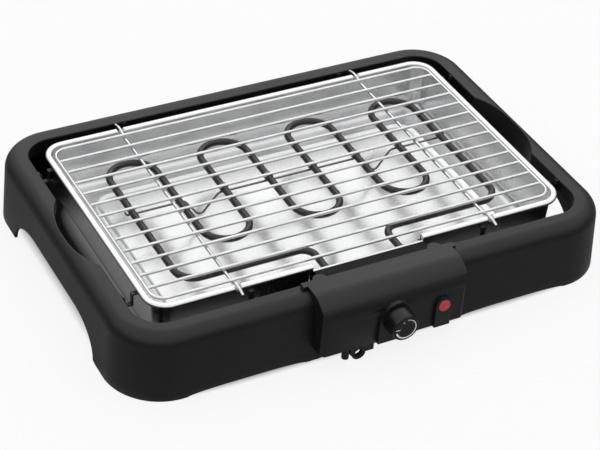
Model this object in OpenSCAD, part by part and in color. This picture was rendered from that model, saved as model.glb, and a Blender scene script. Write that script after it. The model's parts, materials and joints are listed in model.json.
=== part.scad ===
// Electric table grill: moulded frame, steel drip tray, serpentine element,
// wire rack and a lift-off control unit. Millimetres, +Z up, table at Z = 0,
// control unit at the front, towards -Y.

/* [Frame] */
// Length of the opening inside the frame
opening_l = 425; // [405:1:450]
// Width of the opening inside the frame
opening_w = 276; // [262:1:292]
// Height of the rim above the table
frame_h = 64; // [60:1:74]
// Width of the rim, from the opening to the outer wall
rim_w = 21.5; // [17:0.5:25]
// Radius of the outer shoulder of the rim
shoulder_r = 13; // [10:0.5:15]
// Radius of the opening's corners
opening_r = 26; // [24:1:30]
// Outward lean of the outer wall in degrees
lean = 3.5; // [2:0.5:5]
// Thickness of the moulded walls
wall = 2.8; // [2.4:0.1:3.4]
// Depth of the lip that hangs from the opening's edge
lip_h = 12; // [10:0.5:15]

/* [Carrying arches and scoops] */
// Half length of the side arch at the table
arch_half = 91; // [82:1:95]
// Half length of the flat top of the side arch
arch_flat = 45; // [36:1:50]
// Height of the side arch
arch_h = 27; // [22:0.5:30]
// Height of the shallow arches in the long walls
long_arch_h = 2.4; // [1.5:0.1:4]
// Half length of each shallow arch
long_arch_half = 54; // [46:1:58]
// Distance of the shallow arches from the middle
long_arch_x = 129; // [124:1:134]
// Half length of the finger scoop in the rim
scoop_half = 50; // [42:1:54]
// How square the scoop's ends are, where 2 is a parabola
scoop_power = 2.5; // [2:0.1:4]
// Depth of the finger scoop
scoop_d = 13; // [10:0.5:15]
// Height of the wall that closes the scoop
scoop_h = 26; // [20:1:32]

/* [Feet] */
// Diameter of a rubber foot
foot_d = 15; // [12:0.5:18]
// How far a foot stands out below the frame
foot_out = 1.2; // [0.8:0.1:2]
// Depth of the foot's seat
foot_seat = 2; // [1.5:0.1:3]

/* [Drip tray] */
// Gap between the tray's rim and the opening
tray_gap = 12.5; // [11:0.5:15]
// How far the tray's rim stands above the frame
tray_proud = 4; // [3:0.5:6]
// Depth of the tray, from the rim to the floor
tray_depth = 48; // [42:0.5:50]
// Thickness of the tray's sheet
sheet = 0.8; // [0.6:0.1:1.2]
// Radius of the rolled bead round the rim
bead_r = 2; // [1.6:0.1:2.4]
// Width of the rim, from the bead's outside to the wall
tray_rim = 6; // [5.5:0.5:8]
// Radius of the tray's corners at the rim
tray_r = 21; // [20:1:25]
// Radius between the tray's wall and floor
floor_r = 9; // [6:0.5:11]
// Inward lean of the tray's wall in degrees
tray_lean = 3; // [1:0.5:4]
// Height of the pressed plateau in the floor
plateau_h = 3; // [2:0.5:5]
// Distance of the plateau from the tray's wall
plateau_in = 34; // [28:1:42]
// Half width of the cut-out for the element
cutout_half = 53; // [50:0.5:58]
// Depth of the cut-out below the rim
cutout_d = 20; // [17:0.5:26]
// Width of a notch for a rack wire
notch_w = 8; // [6:0.5:10]
// Depth of a notch for a rack wire
notch_d = 2.6; // [2.2:0.1:3]

/* [Tray brackets] */
// Width of a bracket
bracket_w = 9; // [7:0.5:12]
// Thickness of a bracket
bracket_t = 1.2; // [1:0.1:1.6]
// Distance of the long walls' brackets from the middle
bracket_x = 112; // [100:1:113]
// Distance of the short walls' brackets from the middle
bracket_y = 93; // [86:1:97]
// Diameter of a bracket screw
bracket_screw_d = 3; // [2.5:0.1:3.5]

/* [Rack] */
// Diameter of the rack's wires
wire_d = 3; // [2.4:0.1:3.4]
// Number of bars between the two long sides
bars = 12; // [10:1:16]
// Gap between the rack's frame and the tray's wall
rack_gap = 0.9; // [0.5:0.1:2]
// Gap between the rack's long sides and the tray's wall
rack_side_gap = 4.5; // [3:0.5:6]
// Radius of the rack frame's corners
rack_r = 12; // [11:1:18]
// Distance of the cross wires from the middle
cross_x = 122; // [110:1:135]
// How far the cross wires reach past the tray
cross_out = 8; // [5:0.5:10]
// Depth that the wires sink into each other where welded
weld = 0.3; // [0.1:0.05:0.5]

/* [Heating element] */
// Diameter of the element's tube
tube_d = 6.5; // [6:0.1:8]
// Distance between the element's legs
leg_pitch = 44.4; // [40:0.2:46]
// Depth of the element below the tray's rim
element_drop = 12.2; // [11.5:0.1:14]
// Distance from the tray's back wall to the loops
back_gap = 30; // [24:1:40]
// Depth of the front loops in front of the middle
front_loop_y = 53; // [40:1:56]
// Distance of the front run from the middle
front_run_y = 87; // [80:1:92]
// Radius of the element's outer corners
element_r = 17; // [14:1:20]
// Radius of the bends towards the terminals
exit_r = 12; // [10:1:15]
// Distance of each terminal from the middle
terminal_x = 36; // [32:0.5:38]
// Diameter of the wire that stiffens the element
stay_d = 2; // [1.6:0.1:2.4]
// Distance of the stay from the middle, towards the back
stay_y = 20; // [10:1:26]
// Depth of the stay's V below the element
stay_v = 21; // [16:0.5:22]

/* [Control unit] */
// Width of the housing
box_w = 138; // [134:1:146]
// Height of the housing's top above the frame's rim
box_proud = 3.6; // [3.3:0.1:5]
// Height of the housing's bottom above the table
box_floor = 14; // [13:0.5:17]
// How far the housing stands in front of the rim's outer wall
box_out = 17.5; // [15:0.5:21]
// Thickness of the housing's walls
box_wall = 2.4; // [2:0.1:2.8]
// Radius of the housing's front edge
box_r = 21; // [17:0.5:22]
// Half width of the base that drops through the frame's front wall
base_half = 60; // [57:0.5:61]
// Height of the knob above the table
knob_z = 36.5; // [35.5:0.5:39]
// Depth of the raised pads behind the knob and the lamp
pad_t = 3; // [2:0.5:5]
// Radius of the knob's pad
pad_r = 17; // [15:0.1:19]
// Diameter of the knob at its base
knob_d = 27; // [24:0.5:30]
// Height of the knob
knob_h = 14; // [10:0.5:16]
// Diameter of the thermostat's shaft
shaft_d = 6; // [5:0.1:6.5]
// Distance of the lamp from the knob
lamp_x = 45; // [42:0.5:48]
// Height of the lamp above the table
lamp_z = 36.5; // [34:0.5:38]
// Diameter of the lamp's lens
lens_d = 11.2; // [10:0.1:13]
// Radius of the lamp's pad
lamp_pad_r = 7.6; // [7:0.1:10]
// Distance of the cord gland from the middle
gland_x = 33; // [31:0.5:36]
// Outer diameter of the cord gland
gland_d = 13; // [12:0.5:13.5]
// Bore of the cord gland
gland_bore = 7.6; // [7:0.1:8.5]
// Travel of the safety switch's plunger
plunger_travel = 1.5; // [1:0.1:2]

/* [Clearances] */
// Play between pieces that lift off and what carries them
play = 0.3; // [0.25:0.05:0.5]
// Gap below the control unit, in the frame's notch
box_gap = 0.8; // [0.7:0.1:1.2]
// Radial play of a turning shaft
shaft_play = 0.06; // [0.03:0.01:0.1]
// Gap round pieces that pass through a hole
hole_gap = 0.35; // [0.25:0.05:0.6]

/* [Hidden] */
$fn = 48;

moulded = "#2b2b2d";
bright = "#d9dadb";
dark_tube = "#352f2c";
plated = "#9a9b9d";
arc_steps = 10;
screw_fit = 0.05;
elbow = 1.08;
head_ratio = 1.9;

// ---- Frame ----
lean_run = (frame_h - shoulder_r) * tan(lean);
wall_out = rim_w + lean_run;
edge_r = 1.2;
foot_boss_d = foot_d + 2 * wall;
foot_reach = opening_r + wall_out - 1 - foot_boss_d / 2;
foot_x = opening_l / 2 - opening_r + foot_reach * cos(45);
foot_y = opening_w / 2 - opening_r + foot_reach * sin(45);
foot_boss_h = foot_seat + wall;
lip_screw_z = frame_h - lip_h / 2;

// ---- Tray ----
tray_l = opening_l - 2 * tray_gap;
tray_w = opening_w - 2 * tray_gap;
tray_top = frame_h + tray_proud;
tray_floor = tray_top - tray_depth;
tray_wall_l = tray_l - 2 * tray_rim;
tray_wall_w = tray_w - 2 * tray_rim;
tray_run = (tray_depth - floor_r) * tan(tray_lean);
floor_l = tray_wall_l - 2 * tray_run - 2 * floor_r;
floor_w = tray_wall_w - 2 * tray_run - 2 * floor_r;
floor_corner_r = tray_r - tray_rim - tray_run - floor_r;
plateau_l = tray_wall_l - 2 * plateau_in;
plateau_w = tray_wall_w - 2 * plateau_in;
plateau_r = 14;
rim_bend_r = 2 * sheet;
bead_bottom = tray_top - 2 * bead_r;

// ---- Brackets ----
bracket_top = bead_bottom - play;
bracket_reach = tray_gap + 2 * bead_r - 0.5;
bracket_step = 0.7 * tray_gap;
bracket_low = frame_h - lip_h;

// ---- Rack ----
notch_floor = tray_top - notch_d;
hump_z = notch_floor + play + wire_d / 2;
hump_rise = 2.8;
cross_z = hump_z - hump_rise;
bar_z = cross_z + wire_d - weld;
rack_l = tray_wall_l - 2 * rack_gap - wire_d;
rack_w = tray_wall_w - 2 * rack_side_gap - wire_d;
bar_pitch = rack_w / (bars + 1);
tip_drop = 1.8;

// ---- Element ----
legs = 8;
loop_r = leg_pitch / 2;
outer_leg_x = (legs - 1) / 2 * leg_pitch;
element_z = tray_top - element_drop;
back_loop_y = tray_w / 2 - tray_rim - back_gap - loop_r - tube_d / 2;
front_turn_y = loop_r + tube_d / 2 - front_loop_y;
stay_z = element_z - tube_d / 2 - stay_d / 2;

// ---- Control unit ----
rim_front = -(opening_w / 2 + rim_w);
box_front = rim_front - box_out;
box_back = -(opening_w / 2 + 2);
box_top = frame_h + box_proud;
inner_front = box_front + box_wall;
inner_back = box_back - box_wall;
inner_floor = box_floor + box_wall;
wing_x = box_w / 2;
pad_front = box_front - pad_t;
knob_front = pad_front - play - knob_h;
notch_half = base_half + 2;
notch_z = box_floor - box_gap;
lobe_r = 6.5;
lobe_x = 55;
lobe_out = 5.5;
lobe_y = box_back + lobe_out - lobe_r;
tab_l = 4;
tab_w = 6;
saddle_z = frame_h + play;
corner_r = 5;
post_d = 7;
post_in = 2.5;
post_h = 20;
pilot_d = 2.6;
pilot_h = 12;

// Rear inner wall carries the element's flange, and the shield hangs outside it
flange_t = 1.5;
flange_side = 11;
flange_down = 9;
flange_up = 7;
flange_half_w = terminal_x + flange_side;
flange_z0 = element_z - flange_down;
flange_z1 = element_z + flange_up;
flange_screw_x = 22;
shield_half_w = cutout_half;
shield_gap = 0.5;
shield_y = -(tray_w / 2) - shield_gap;
shield_z0 = tray_top - cutout_d;
bracket_sheet = 1;
bracket_half_w = cutout_half - 1;
bracket_z0 = shield_z0 + 1;
bracket_in_y = -(tray_w / 2 - tray_rim) - 0.5;
shield_top = saddle_z - 0.3;
tube_in = 7;
tube_end_y = inner_back - tube_in;
insulator_l = 5;
pin_d = 3;
pin_l = 12;
pin_end_y = tube_end_y - pin_l;
tag_w = 6.3;
tag_l = 9;
tag_over = 4;
tag_t = 0.8;

// Thermostat stands off the front wall on its shoulder
shoulder_t = 1.5;
shoulder_d = 16;
thermostat_w = 34;
thermostat_h = 26;
thermostat_d = 17;
thermostat_y = inner_front + shoulder_t;
thermostat_back = thermostat_y + thermostat_d;
bushing_d = 9.5;
nut_d = 14;
nut_t = 2.6;
nut_recess = 3.2;
nut_recess_d = nut_d + 2;
shaft_in = 12;
shaft_out = knob_h - 3.5;
flat_d = 1;
mark_t = 0.3;
mark_r = 0.34 * knob_d;
mark_from = 195;
mark_sweep = 251;
mark_thick = 1.5;
mark_thin = 0.4;
dash_l = 4.4;
dash_w = 0.6;
dot_d = 1;

lens_flange_d = lens_d + 3;
holder_d = 11;
holder_l = 12;
lens_out = 1.4;
lens_flange_t = 1.5;
holder_foot_w = 6;
holder_foot_t = 3;

frame_wall_y = -(opening_w / 2 + wall_out - notch_z * tan(lean) - wall / 2);
switch_w = 20;
switch_t = 8;
switch_h = 16;
switch_side = 1.6;
switch_x = -(base_half - box_wall - switch_side - switch_w / 2);
plunger_d = 3.6;
plunger_in = 6;
plunger_z = notch_z + 0.3;

clamp_gap = 0.8;
clamp_back = frame_wall_y - wall / 2 - clamp_gap;
clamp_left = 8;
clamp_right = 14;
clamp_h = 6.4;
clamp_x0 = -gland_x - clamp_left;
clamp_x1 = -gland_x + clamp_right;
clamp_z0 = box_floor - clamp_h;
clamp_screw_x = clamp_x1 - 3.5;
gland_l = 5;
gland_z = box_floor - gland_d / 2;
peg_d = 6.5;
peg_l = 10;
block_w = 24;
block_t = 11;
block_h = 11;
block_x = -22;
block_hole_d = 4;
block_hole_h = 3;
tag_ring_d = 8;
earth_tag_t = 1;
earth_tag_w = 4;
earth_tag_l = 14;
block_y = inner_back - 1.5;
disc_d = 15;
disc_t = 8;
disc_x = -10;
lead_rise = 5;
lead_above = 3.5;
lead_d = 2;

// The bounding box is centred on the origin in Y, and the feet stand on Z = 0
back_reach = opening_w / 2 + wall_out;
shift_y = (-knob_front - back_reach) / 2;

// ==== Helpers ====

// Points of an arc round [cx, cy], from angle a0 to a1
function arc(cx, cy, r, a0, a1, n = arc_steps) =
    [for (i = [0 : n]) let (a = a0 + (a1 - a0) * i / n) [cx + r * cos(a), cy + r * sin(a)]];

// Sweeps a profile round a rectangle l by w with corner radius r.
// The profile's X is the distance outward from the rectangle.
module sweep_ring(l, w, r) {
    for (i = [0 : 3]) {
        sx = i == 0 || i == 3 ? 1 : -1;
        sy = i < 2 ? 1 : -1;
        translate([sx * (l / 2 - r), sy * (w / 2 - r), 0]) rotate([0, 0, 90 * i])
            rotate_extrude(angle = 90) translate([r, 0]) children();
    }
    for (i = [0 : 3]) rotate([0, 0, 90 * i])
        translate([(i % 2 == 0 ? l : w) / 2, 0, 0])
            side_run((i % 2 == 0 ? w : l) - 2 * r) children();
}

// One straight side: profile in X and Z, extruded along Y
module side_run(len) {
    rotate([90, 0, 0]) translate([0, 0, -len / 2]) linear_extrude(len) children();
}

// A profile in Y and Z, extruded along X from x0 to x1
module x_run(x0, x1) {
    translate([x0, 0, 0]) rotate([90, 0, 90]) linear_extrude(x1 - x0) children();
}

// A flat plate with rounded corners
module rounded_plate(l, w, r, h) {
    translate([-l / 2 + r, -w / 2, 0]) cube([l - 2 * r, w, h]);
    translate([-l / 2, -w / 2 + r, 0]) cube([l, w - 2 * r, h]);
    for (sx = [-1, 1], sy = [-1, 1])
        translate([sx * (l / 2 - r), sy * (w / 2 - r), 0]) cylinder(r = r, h = h);
}

// A round bar between two points
module rod(a, b, d) {
    v = b - a;
    len = norm(v);
    translate(a) rotate([0, acos(v[2] / len), atan2(v[1], v[0])]) cylinder(d = d, h = len);
}

// A bent wire through a list of points, with a round elbow a hair thicker than the wire
module bent_wire(pts, d) {
    for (i = [0 : len(pts) - 2]) rod(pts[i], pts[i + 1], d);
    for (i = [1 : len(pts) - 2]) translate(pts[i]) sphere(d = d * elbow);
}

function unit(v) = v / norm(v);

// Places children with their origin at o and their axes along x, y and z
module on_axes(o, x, y, z) {
    multmatrix([
        [x[0], y[0], z[0], o[0]],
        [x[1], y[1], z[1], o[1]],
        [x[2], y[2], z[2], o[2]]
    ]) children();
}

// A wire through points that turn square at each corner, bent to the radius r
module square_wire(pts, d, r) {
    n = len(pts) - 1;
    dirs = [for (i = [0 : n - 1]) unit(pts[i + 1] - pts[i])];
    for (i = [0 : n - 1]) {
        a = pts[i] + (i == 0 ? 0 : r) * dirs[i];
        b = pts[i + 1] - (i == n - 1 ? 0 : r) * dirs[i];
        side = dirs[i < n - 1 ? i + 1 : i - 1];
        on_axes(a, side, cross(dirs[i], side), dirs[i]) cylinder(d = d, h = norm(b - a));
    }
    for (i = [1 : n - 1])
        on_axes(pts[i] + r * (dirs[i] - dirs[i - 1]), -dirs[i], dirs[i - 1], cross(dirs[i - 1], dirs[i]))
            rotate_extrude(angle = 90) translate([r, 0]) circle(d = d);
}

// A flat bend of tube: centre, radius, start angle and swept angle
module tube_bend(c, r, a0, sweep, d) {
    translate(c) rotate([0, 0, a0]) rotate_extrude(angle = sweep) translate([r, 0]) circle(d = d);
}

// A cylinder along Y from y0 to y1
module y_cyl(x, z, y0, y1, d) {
    translate([x, y0, z]) rotate([-90, 0, 0]) cylinder(d = d, h = y1 - y0);
}

// A box from one corner to the other
module span(a, b) {
    translate(a) cube(b - a);
}

// ==== Frame ====

// Section of the rim and the outer wall
module frame_section() {
    c = rim_w - shoulder_r;
    polygon(concat(
        arc(edge_r, frame_h - edge_r, edge_r, 180, 90, 4),
        arc(c, frame_h - shoulder_r, shoulder_r, 90, 0),
        [[wall_out, 0], [wall_out - wall, 0]],
        arc(c, frame_h - shoulder_r, shoulder_r - wall, 0, 90),
        [[wall, frame_h - wall], [wall, frame_h - lip_h], [0, frame_h - lip_h]]
    ));
}

// The region under the rim's outer face, grown by g, from the distance d0 and down to z0
function rim_region(g, d0, z0) = concat(
    [[d0, z0], [d0, frame_h + g]],
    arc(rim_w - shoulder_r, frame_h - shoulder_r, shoulder_r + g, 90, 0),
    [[wall_out + g - z0 * tan(lean), z0]]
);

// The same region at the front wall, in Y and Z
function front_region(g, d0, z0) = [for (p = rim_region(g, d0, z0)) [-(opening_w / 2 + p[0]), p[1]]];

// Arch with a flat top and elliptical ends
function arch_outline(half, flat, h) = concat(
    [[-half, -1]],
    [for (i = [0 : 9]) let (a = 180 - 10 * i) [-flat + (half - flat) * cos(a), h * sin(a)]],
    [for (i = [0 : 9]) let (a = 90 - 10 * i) [flat + (half - flat) * cos(a), h * sin(a)]],
    [[half, -1]]
);

// Depth of a scoop along the side, as a share, with t from -1 to 1
function scoop_share(t) = 1 - pow(abs(t), scoop_power);

// Plan of a scoop, grown by g: one bow between two corners on the rim's edge
function scoop_outline(g) = concat(
    [[opening_l / 2 - 4, scoop_half + g]],
    [for (i = [arc_steps : -1 : -arc_steps]) let (t = i / arc_steps)
        [opening_l / 2 + (scoop_d + g) * scoop_share(t), (scoop_half + g) * t]],
    [[opening_l / 2 - 4, -scoop_half - g]]
);

module scoop_prism(g, z0, z1) {
    for (a = [0, 180]) rotate([0, 0, a]) translate([0, 0, z0]) linear_extrude(z1 - z0)
        polygon(scoop_outline(g));
}

module frame_shell() {
    color(moulded) {
        difference() {
            sweep_ring(opening_l, opening_w, opening_r) frame_section();
            for (a = [0, 180]) rotate([0, 0, a])
                x_run(opening_l / 2, opening_l / 2 + wall_out + 1)
                    polygon(arch_outline(arch_half, arch_flat, arch_h));
            for (x = [-long_arch_x, long_arch_x], a = [0, 180]) rotate([0, 0, a])
                translate([x, opening_w / 2 + wall_out + 1, 0]) rotate([90, 0, 0])
                    linear_extrude(wall_out) polygon(arch_outline(long_arch_half, long_arch_half / 4, long_arch_h));
            scoop_prism(0, frame_h - lip_h - 1, frame_h + 1);
            span([-notch_half, -opening_w, notch_z], [notch_half, -opening_w / 2 + 1, frame_h + 1]);
            bracket_places() translate([1, 0, lip_screw_z]) rotate([0, -90, 0])
                cylinder(d = bracket_screw_d + 2 * screw_fit, h = wall + 2);
        }
        scoop_walls();
        // Cheeks that close the rim at both ends of the notch
        for (x = [-notch_half - wall, notch_half])
            x_run(x, x + wall) polygon(front_region(-wall / 2, wall / 2, notch_z));
        foot_bosses();
    }
}

// Walls behind the scoops, up to the shoulder and down past the fingers
module scoop_walls() {
    difference() {
        intersection() {
            scoop_prism(wall, frame_h - scoop_h, frame_h);
            for (a = [0, 180]) rotate([0, 0, a]) translate([opening_l / 2, 0, 0])
                side_run(4 * scoop_half) polygon(rim_region(-wall / 2, wall / 2, frame_h - scoop_h));
        }
        scoop_prism(0, frame_h - scoop_h - 1, frame_h + 1);
    }
}

module foot_places() {
    for (sx = [-1, 1], sy = [-1, 1]) translate([sx * foot_x, sy * foot_y, 0]) children();
}

// Bosses in the corners that take the rubber feet
module foot_bosses() {
    foot_places() difference() {
        cylinder(d = foot_boss_d, h = foot_boss_h);
        translate([0, 0, -1]) cylinder(d = foot_d + 2 * screw_fit, h = 1 + foot_seat);
    }
}

module foot_pads() {
    color("#1c1c1d") foot_places() {
        translate([0, 0, -foot_out]) cylinder(d = foot_d - 2 * foot_out, h = foot_out);
        cylinder(d = foot_d, h = foot_seat);
    }
}

// Places of the brackets that carry the tray, X axis pointing inwards to the tray
module bracket_places() {
    for (sx = [-1, 1], s = [-1, 1]) {
        translate([sx * opening_l / 2, s * bracket_y, 0]) rotate([0, 0, sx > 0 ? 180 : 0]) children();
        translate([sx * bracket_x, s * opening_w / 2, 0]) rotate([0, 0, s > 0 ? -90 : 90]) children();
    }
}

// Bent strip: leg on the frame's lip, trough, riser and a tab below the tray's bead
module tray_brackets() {
    t = bracket_t;
    low = bracket_low;
    color("#2c2c2e") bracket_places() difference() {
        side_run(bracket_w) polygon([
            [0, low], [bracket_step + t, low], [bracket_step + t, bracket_top - t], [bracket_reach, bracket_top - t],
            [bracket_reach, bracket_top], [bracket_step, bracket_top], [bracket_step, low + t], [t, low + t],
            [t, frame_h - edge_r], [0, frame_h - edge_r]
        ]);
        translate([-1, 0, lip_screw_z]) rotate([0, 90, 0])
            cylinder(d = bracket_screw_d + 2 * screw_fit, h = 2 + t);
    }
}

module bracket_screws() {
    head_h = 1.8;
    color(plated) bracket_places() translate([bracket_t, 0, lip_screw_z]) rotate([0, 90, 0]) {
        cylinder(d = head_ratio * bracket_screw_d, h = head_h);
        translate([0, 0, -bracket_t - wall]) cylinder(d = bracket_screw_d, h = bracket_t + wall);
    }
}

// ==== Drip tray ====

// Section of the bead, the rim, the wall and the fillet, from the bead inwards
module tray_section() {
    foot = -tray_rim - tray_run;
    z1 = tray_floor + floor_r;
    bend_x = rim_bend_r - tray_rim;
    bend_z = tray_top - rim_bend_r;
    translate([-bead_r, tray_top - bead_r]) difference() {
        circle(r = bead_r);
        circle(r = bead_r - sheet);
    }
    polygon(concat(
        [[-bead_r, tray_top]],
        arc(bend_x, bend_z, rim_bend_r, 90, 180, 4),
        arc(foot - floor_r, z1, floor_r, 0, -90, 6),
        arc(foot - floor_r, z1, floor_r + sheet, -90, 0, 6),
        arc(bend_x, bend_z, rim_bend_r - sheet, 180, 90, 4),
        [[-bead_r, tray_top - sheet]]
    ));
}

module drip_tray() {
    color(bright) {
        difference() {
            sweep_ring(tray_l, tray_w, tray_r) tray_section();
            // Cut-out for the element
            span([-cutout_half, -tray_w, tray_top - cutout_d],
                 [cutout_half, -tray_w / 2 + tray_rim + tray_run, tray_top + 1]);
            // Notches for the rack's cross wires
            for (x = [-cross_x, cross_x], s = [-1, 1])
                translate([x - notch_w / 2, s * (tray_w / 2 - tray_rim / 2) - tray_rim, notch_floor])
                    cube([notch_w, 2 * tray_rim, notch_d + 1]);
        }
        // Floor with a pressed plateau
        translate([0, 0, tray_floor - sheet]) difference() {
            union() {
                rounded_plate(floor_l, floor_w, floor_corner_r, sheet);
                rounded_plate(plateau_l, plateau_w, plateau_r, sheet + plateau_h);
            }
            translate([0, 0, -1]) rounded_plate(plateau_l - 2 * sheet, plateau_w - 2 * sheet,
                                                plateau_r - sheet, plateau_h + 1);
        }
    }
}

// ==== Rack ====

module rack_frame() {
    color(bright) for (i = [0 : 3]) {
        sx = i == 0 || i == 3 ? 1 : -1;
        sy = i < 2 ? 1 : -1;
        tube_bend([sx * (rack_l / 2 - rack_r), sy * (rack_w / 2 - rack_r), bar_z], rack_r, 90 * i, 90, wire_d);
    }
    color(bright) for (s = [-1, 1]) {
        x = rack_l / 2 - rack_r;
        y = rack_w / 2 - rack_r;
        rod([-x, s * rack_w / 2, bar_z], [x, s * rack_w / 2, bar_z], wire_d);
        rod([s * rack_l / 2, -y, bar_z], [s * rack_l / 2, y, bar_z], wire_d);
    }
}

module rack_bars() {
    half = rack_l / 2 - wire_d / 2 + weld;
    color(bright) for (i = [1 : bars])
        translate([0, i * bar_pitch - rack_w / 2, bar_z]) rotate([0, 90, 0])
            cylinder(d = wire_d, h = 2 * half, center = true);
}

// Wires below the bars, bent up over the tray's rim at their ends
module rack_cross_wires() {
    steps = [
        [rack_w / 2 + 1, cross_z],
        [tray_w / 2 - tray_rim - 0.8, hump_z],
        [tray_w / 2 + 1, hump_z],
        [tray_w / 2 + cross_out, hump_z - tip_drop]
    ];
    color(bright) for (x = [-cross_x, cross_x])
        bent_wire(concat(
            [for (i = [3 : -1 : 0]) [x, -steps[i][0], steps[i][1]]],
            [for (i = [0 : 3]) [x, steps[i][0], steps[i][1]]]
        ), wire_d);
}

// ==== Heating element ====

function leg_x(i) = i * leg_pitch - outer_leg_x;

module heating_element() {
    z = element_z;
    run_x = terminal_x + exit_r;
    corner_x = outer_leg_x - element_r;
    color(dark_tube) {
        for (i = [0 : legs - 1]) {
            outer = i == 0 || i == legs - 1;
            rod([leg_x(i), outer ? element_r - front_run_y : front_turn_y, z], [leg_x(i), back_loop_y, z], tube_d);
        }
        for (i = [0 : 2 : legs - 2]) tube_bend([leg_x(i + 0.5), back_loop_y, z], loop_r, 0, 180, tube_d);
        for (i = [1 : 2 : legs - 3]) tube_bend([leg_x(i + 0.5), front_turn_y, z], loop_r, 180, 180, tube_d);
        for (s = [-1, 1]) {
            tube_bend([s * corner_x, element_r - front_run_y, z], element_r, s > 0 ? -90 : 180, 90, tube_d);
            rod([s * corner_x, -front_run_y, z], [s * run_x, -front_run_y, z], tube_d);
            tube_bend([s * run_x, -front_run_y - exit_r, z], exit_r, s > 0 ? 90 : 0, 90, tube_d);
            rod([s * terminal_x, -front_run_y - exit_r, z], [s * terminal_x, tube_end_y, z], tube_d);
        }
    }
}

// Wire below the legs, with a V on each side that dips towards the tray
module element_stay() {
    hook = outer_leg_x + tube_d / 2 + stay_d / 2 + 0.3;
    half = [
        [0, stay_y, stay_z],
        [leg_x(5) + 0.1 * leg_pitch, stay_y, stay_z],
        [leg_x(5.5), stay_y, stay_z - stay_v],
        [leg_x(6) - 0.15 * leg_pitch, stay_y, stay_z],
        [hook, stay_y, stay_z],
        [hook + 1, stay_y, stay_z + tube_d * 0.7]
    ];
    color("#8d8a86") for (m = [0, 1]) mirror([m, 0, 0]) bent_wire(half, stay_d);
}

// Small bands that hold the stay to four of the legs, open where the stay lies
module stay_clips() {
    band = 0.8;
    clip_w = 5;
    color("#6f6d6a") for (i = [2, 3, 4, 5])
        translate([leg_x(i), stay_y - clip_w / 2, element_z]) rotate([-90, 0, 0]) difference() {
            cylinder(d = tube_d + 2 * band, h = clip_w);
            translate([0, 0, -1]) cylinder(d = tube_d + 2 * screw_fit, h = clip_w + 2);
            translate([-tube_d, tube_d / 4, -1]) cube([2 * tube_d, tube_d, clip_w + 2]);
        }
}

module terminal_pins() {
    color("#c9b037") for (s = [-1, 1]) {
        y_cyl(s * terminal_x, element_z, pin_end_y, tube_end_y, pin_d);
        span([s * terminal_x - tag_w / 2, pin_end_y - tag_over, element_z - tag_t / 2],
             [s * terminal_x + tag_w / 2, pin_end_y + tag_l - tag_over, element_z + tag_t / 2]);
    }
}

module terminal_insulators() {
    color("#e8e4da") for (s = [-1, 1]) difference() {
        y_cyl(s * terminal_x, element_z, tube_end_y - insulator_l, tube_end_y, tube_d - 0.5);
        y_cyl(s * terminal_x, element_z, tube_end_y - insulator_l - 1, tube_end_y + 1, pin_d + 2 * screw_fit);
    }
}

// Holes for the element's tubes and the flange's screws
module flange_holes(y0, y1) {
    for (s = [-1, 1]) {
        y_cyl(s * terminal_x, element_z, y0, y1, tube_d + 2 * screw_fit);
        y_cyl(s * flange_screw_x, element_z, y0, y1, bracket_screw_d + 2 * screw_fit);
    }
}

// Bright channel brazed to the tubes, which closes the tray's cut-out
module element_bracket() {
    t = bracket_sheet;
    color(bright) difference() {
        union() {
            span([-bracket_half_w, bracket_in_y - t, bracket_z0], [bracket_half_w, bracket_in_y, shield_top]);
            span([-bracket_half_w, shield_y, shield_top - t], [bracket_half_w, bracket_in_y, shield_top]);
            span([-bracket_half_w, shield_y, bracket_z0], [bracket_half_w, shield_y + t, shield_top]);
        }
        for (s = [-1, 1])
            y_cyl(s * terminal_x, element_z, shield_y - 1, bracket_in_y + 1, tube_d + 2 * screw_fit);
    }
}

module element_flange() {
    color(bright) difference() {
        span([-flange_half_w, inner_back - flange_t, flange_z0], [flange_half_w, inner_back, flange_z1]);
        flange_holes(inner_back - flange_t - 1, inner_back + 1);
    }
}

module flange_screws() {
    color(plated) for (s = [-1, 1]) {
        y_cyl(s * flange_screw_x, element_z, inner_back - flange_t, box_back + 1, bracket_screw_d);
        y_cyl(s * flange_screw_x, element_z, box_back + 1, box_back + 2.8, head_ratio * bracket_screw_d);
    }
}

// Dark channel between the tray and the housing
module heat_shield() {
    color("#161617") difference() {
        union() {
            span([-shield_half_w, box_back, flange_z0], [shield_half_w, box_back + 1, shield_top]);
            span([-shield_half_w, box_back, shield_top - 1], [shield_half_w, shield_y, shield_top]);
            span([-shield_half_w, shield_y - 1, shield_z0], [shield_half_w, shield_y, shield_top]);
        }
        flange_holes(box_back - 1, box_back + 2);
        for (s = [-1, 1])
            y_cyl(s * terminal_x, element_z, shield_y - 2, shield_y + 1, tube_d + 2 * hole_gap);
    }
}

// ==== Control unit ====

// Side of the housing in Y and Z, smaller by g, down to z0
function side_profile(g, z0) = concat(
    [[box_back - g, z0], [box_back - g, box_top - g]],
    arc(box_front + box_r, box_top - box_r, box_r - g, 90, 180),
    [[box_front + g, z0]]
);

// The space round the frame's rim beside the notch, grown by g
module rim_space(g, x0) {
    for (a = [-1, 1])
        x_run(a > 0 ? x0 : -2 * wing_x, a > 0 ? 2 * wing_x : -x0)
            polygon(front_region(g, -3, -1));
}

// Plan of the housing with rounded front corners, extruded over its height
module housing_plan() {
    span([-wing_x, box_front + corner_r, 0], [wing_x, box_back, box_top]);
    span([-wing_x + corner_r, box_front, 0], [wing_x - corner_r, box_back, box_top]);
    for (x = [-wing_x + corner_r, wing_x - corner_r])
        translate([x, box_front + corner_r, 0]) cylinder(r = corner_r, h = box_top);
}

// A raised pad with a round top that runs down to the bottom edge
module pad(x, z, r) {
    y_cyl(x, z, pad_front, box_front + box_r, r * 2);
    span([x - r, pad_front, box_floor], [x + r, box_front + 1, z]);
}

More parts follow.
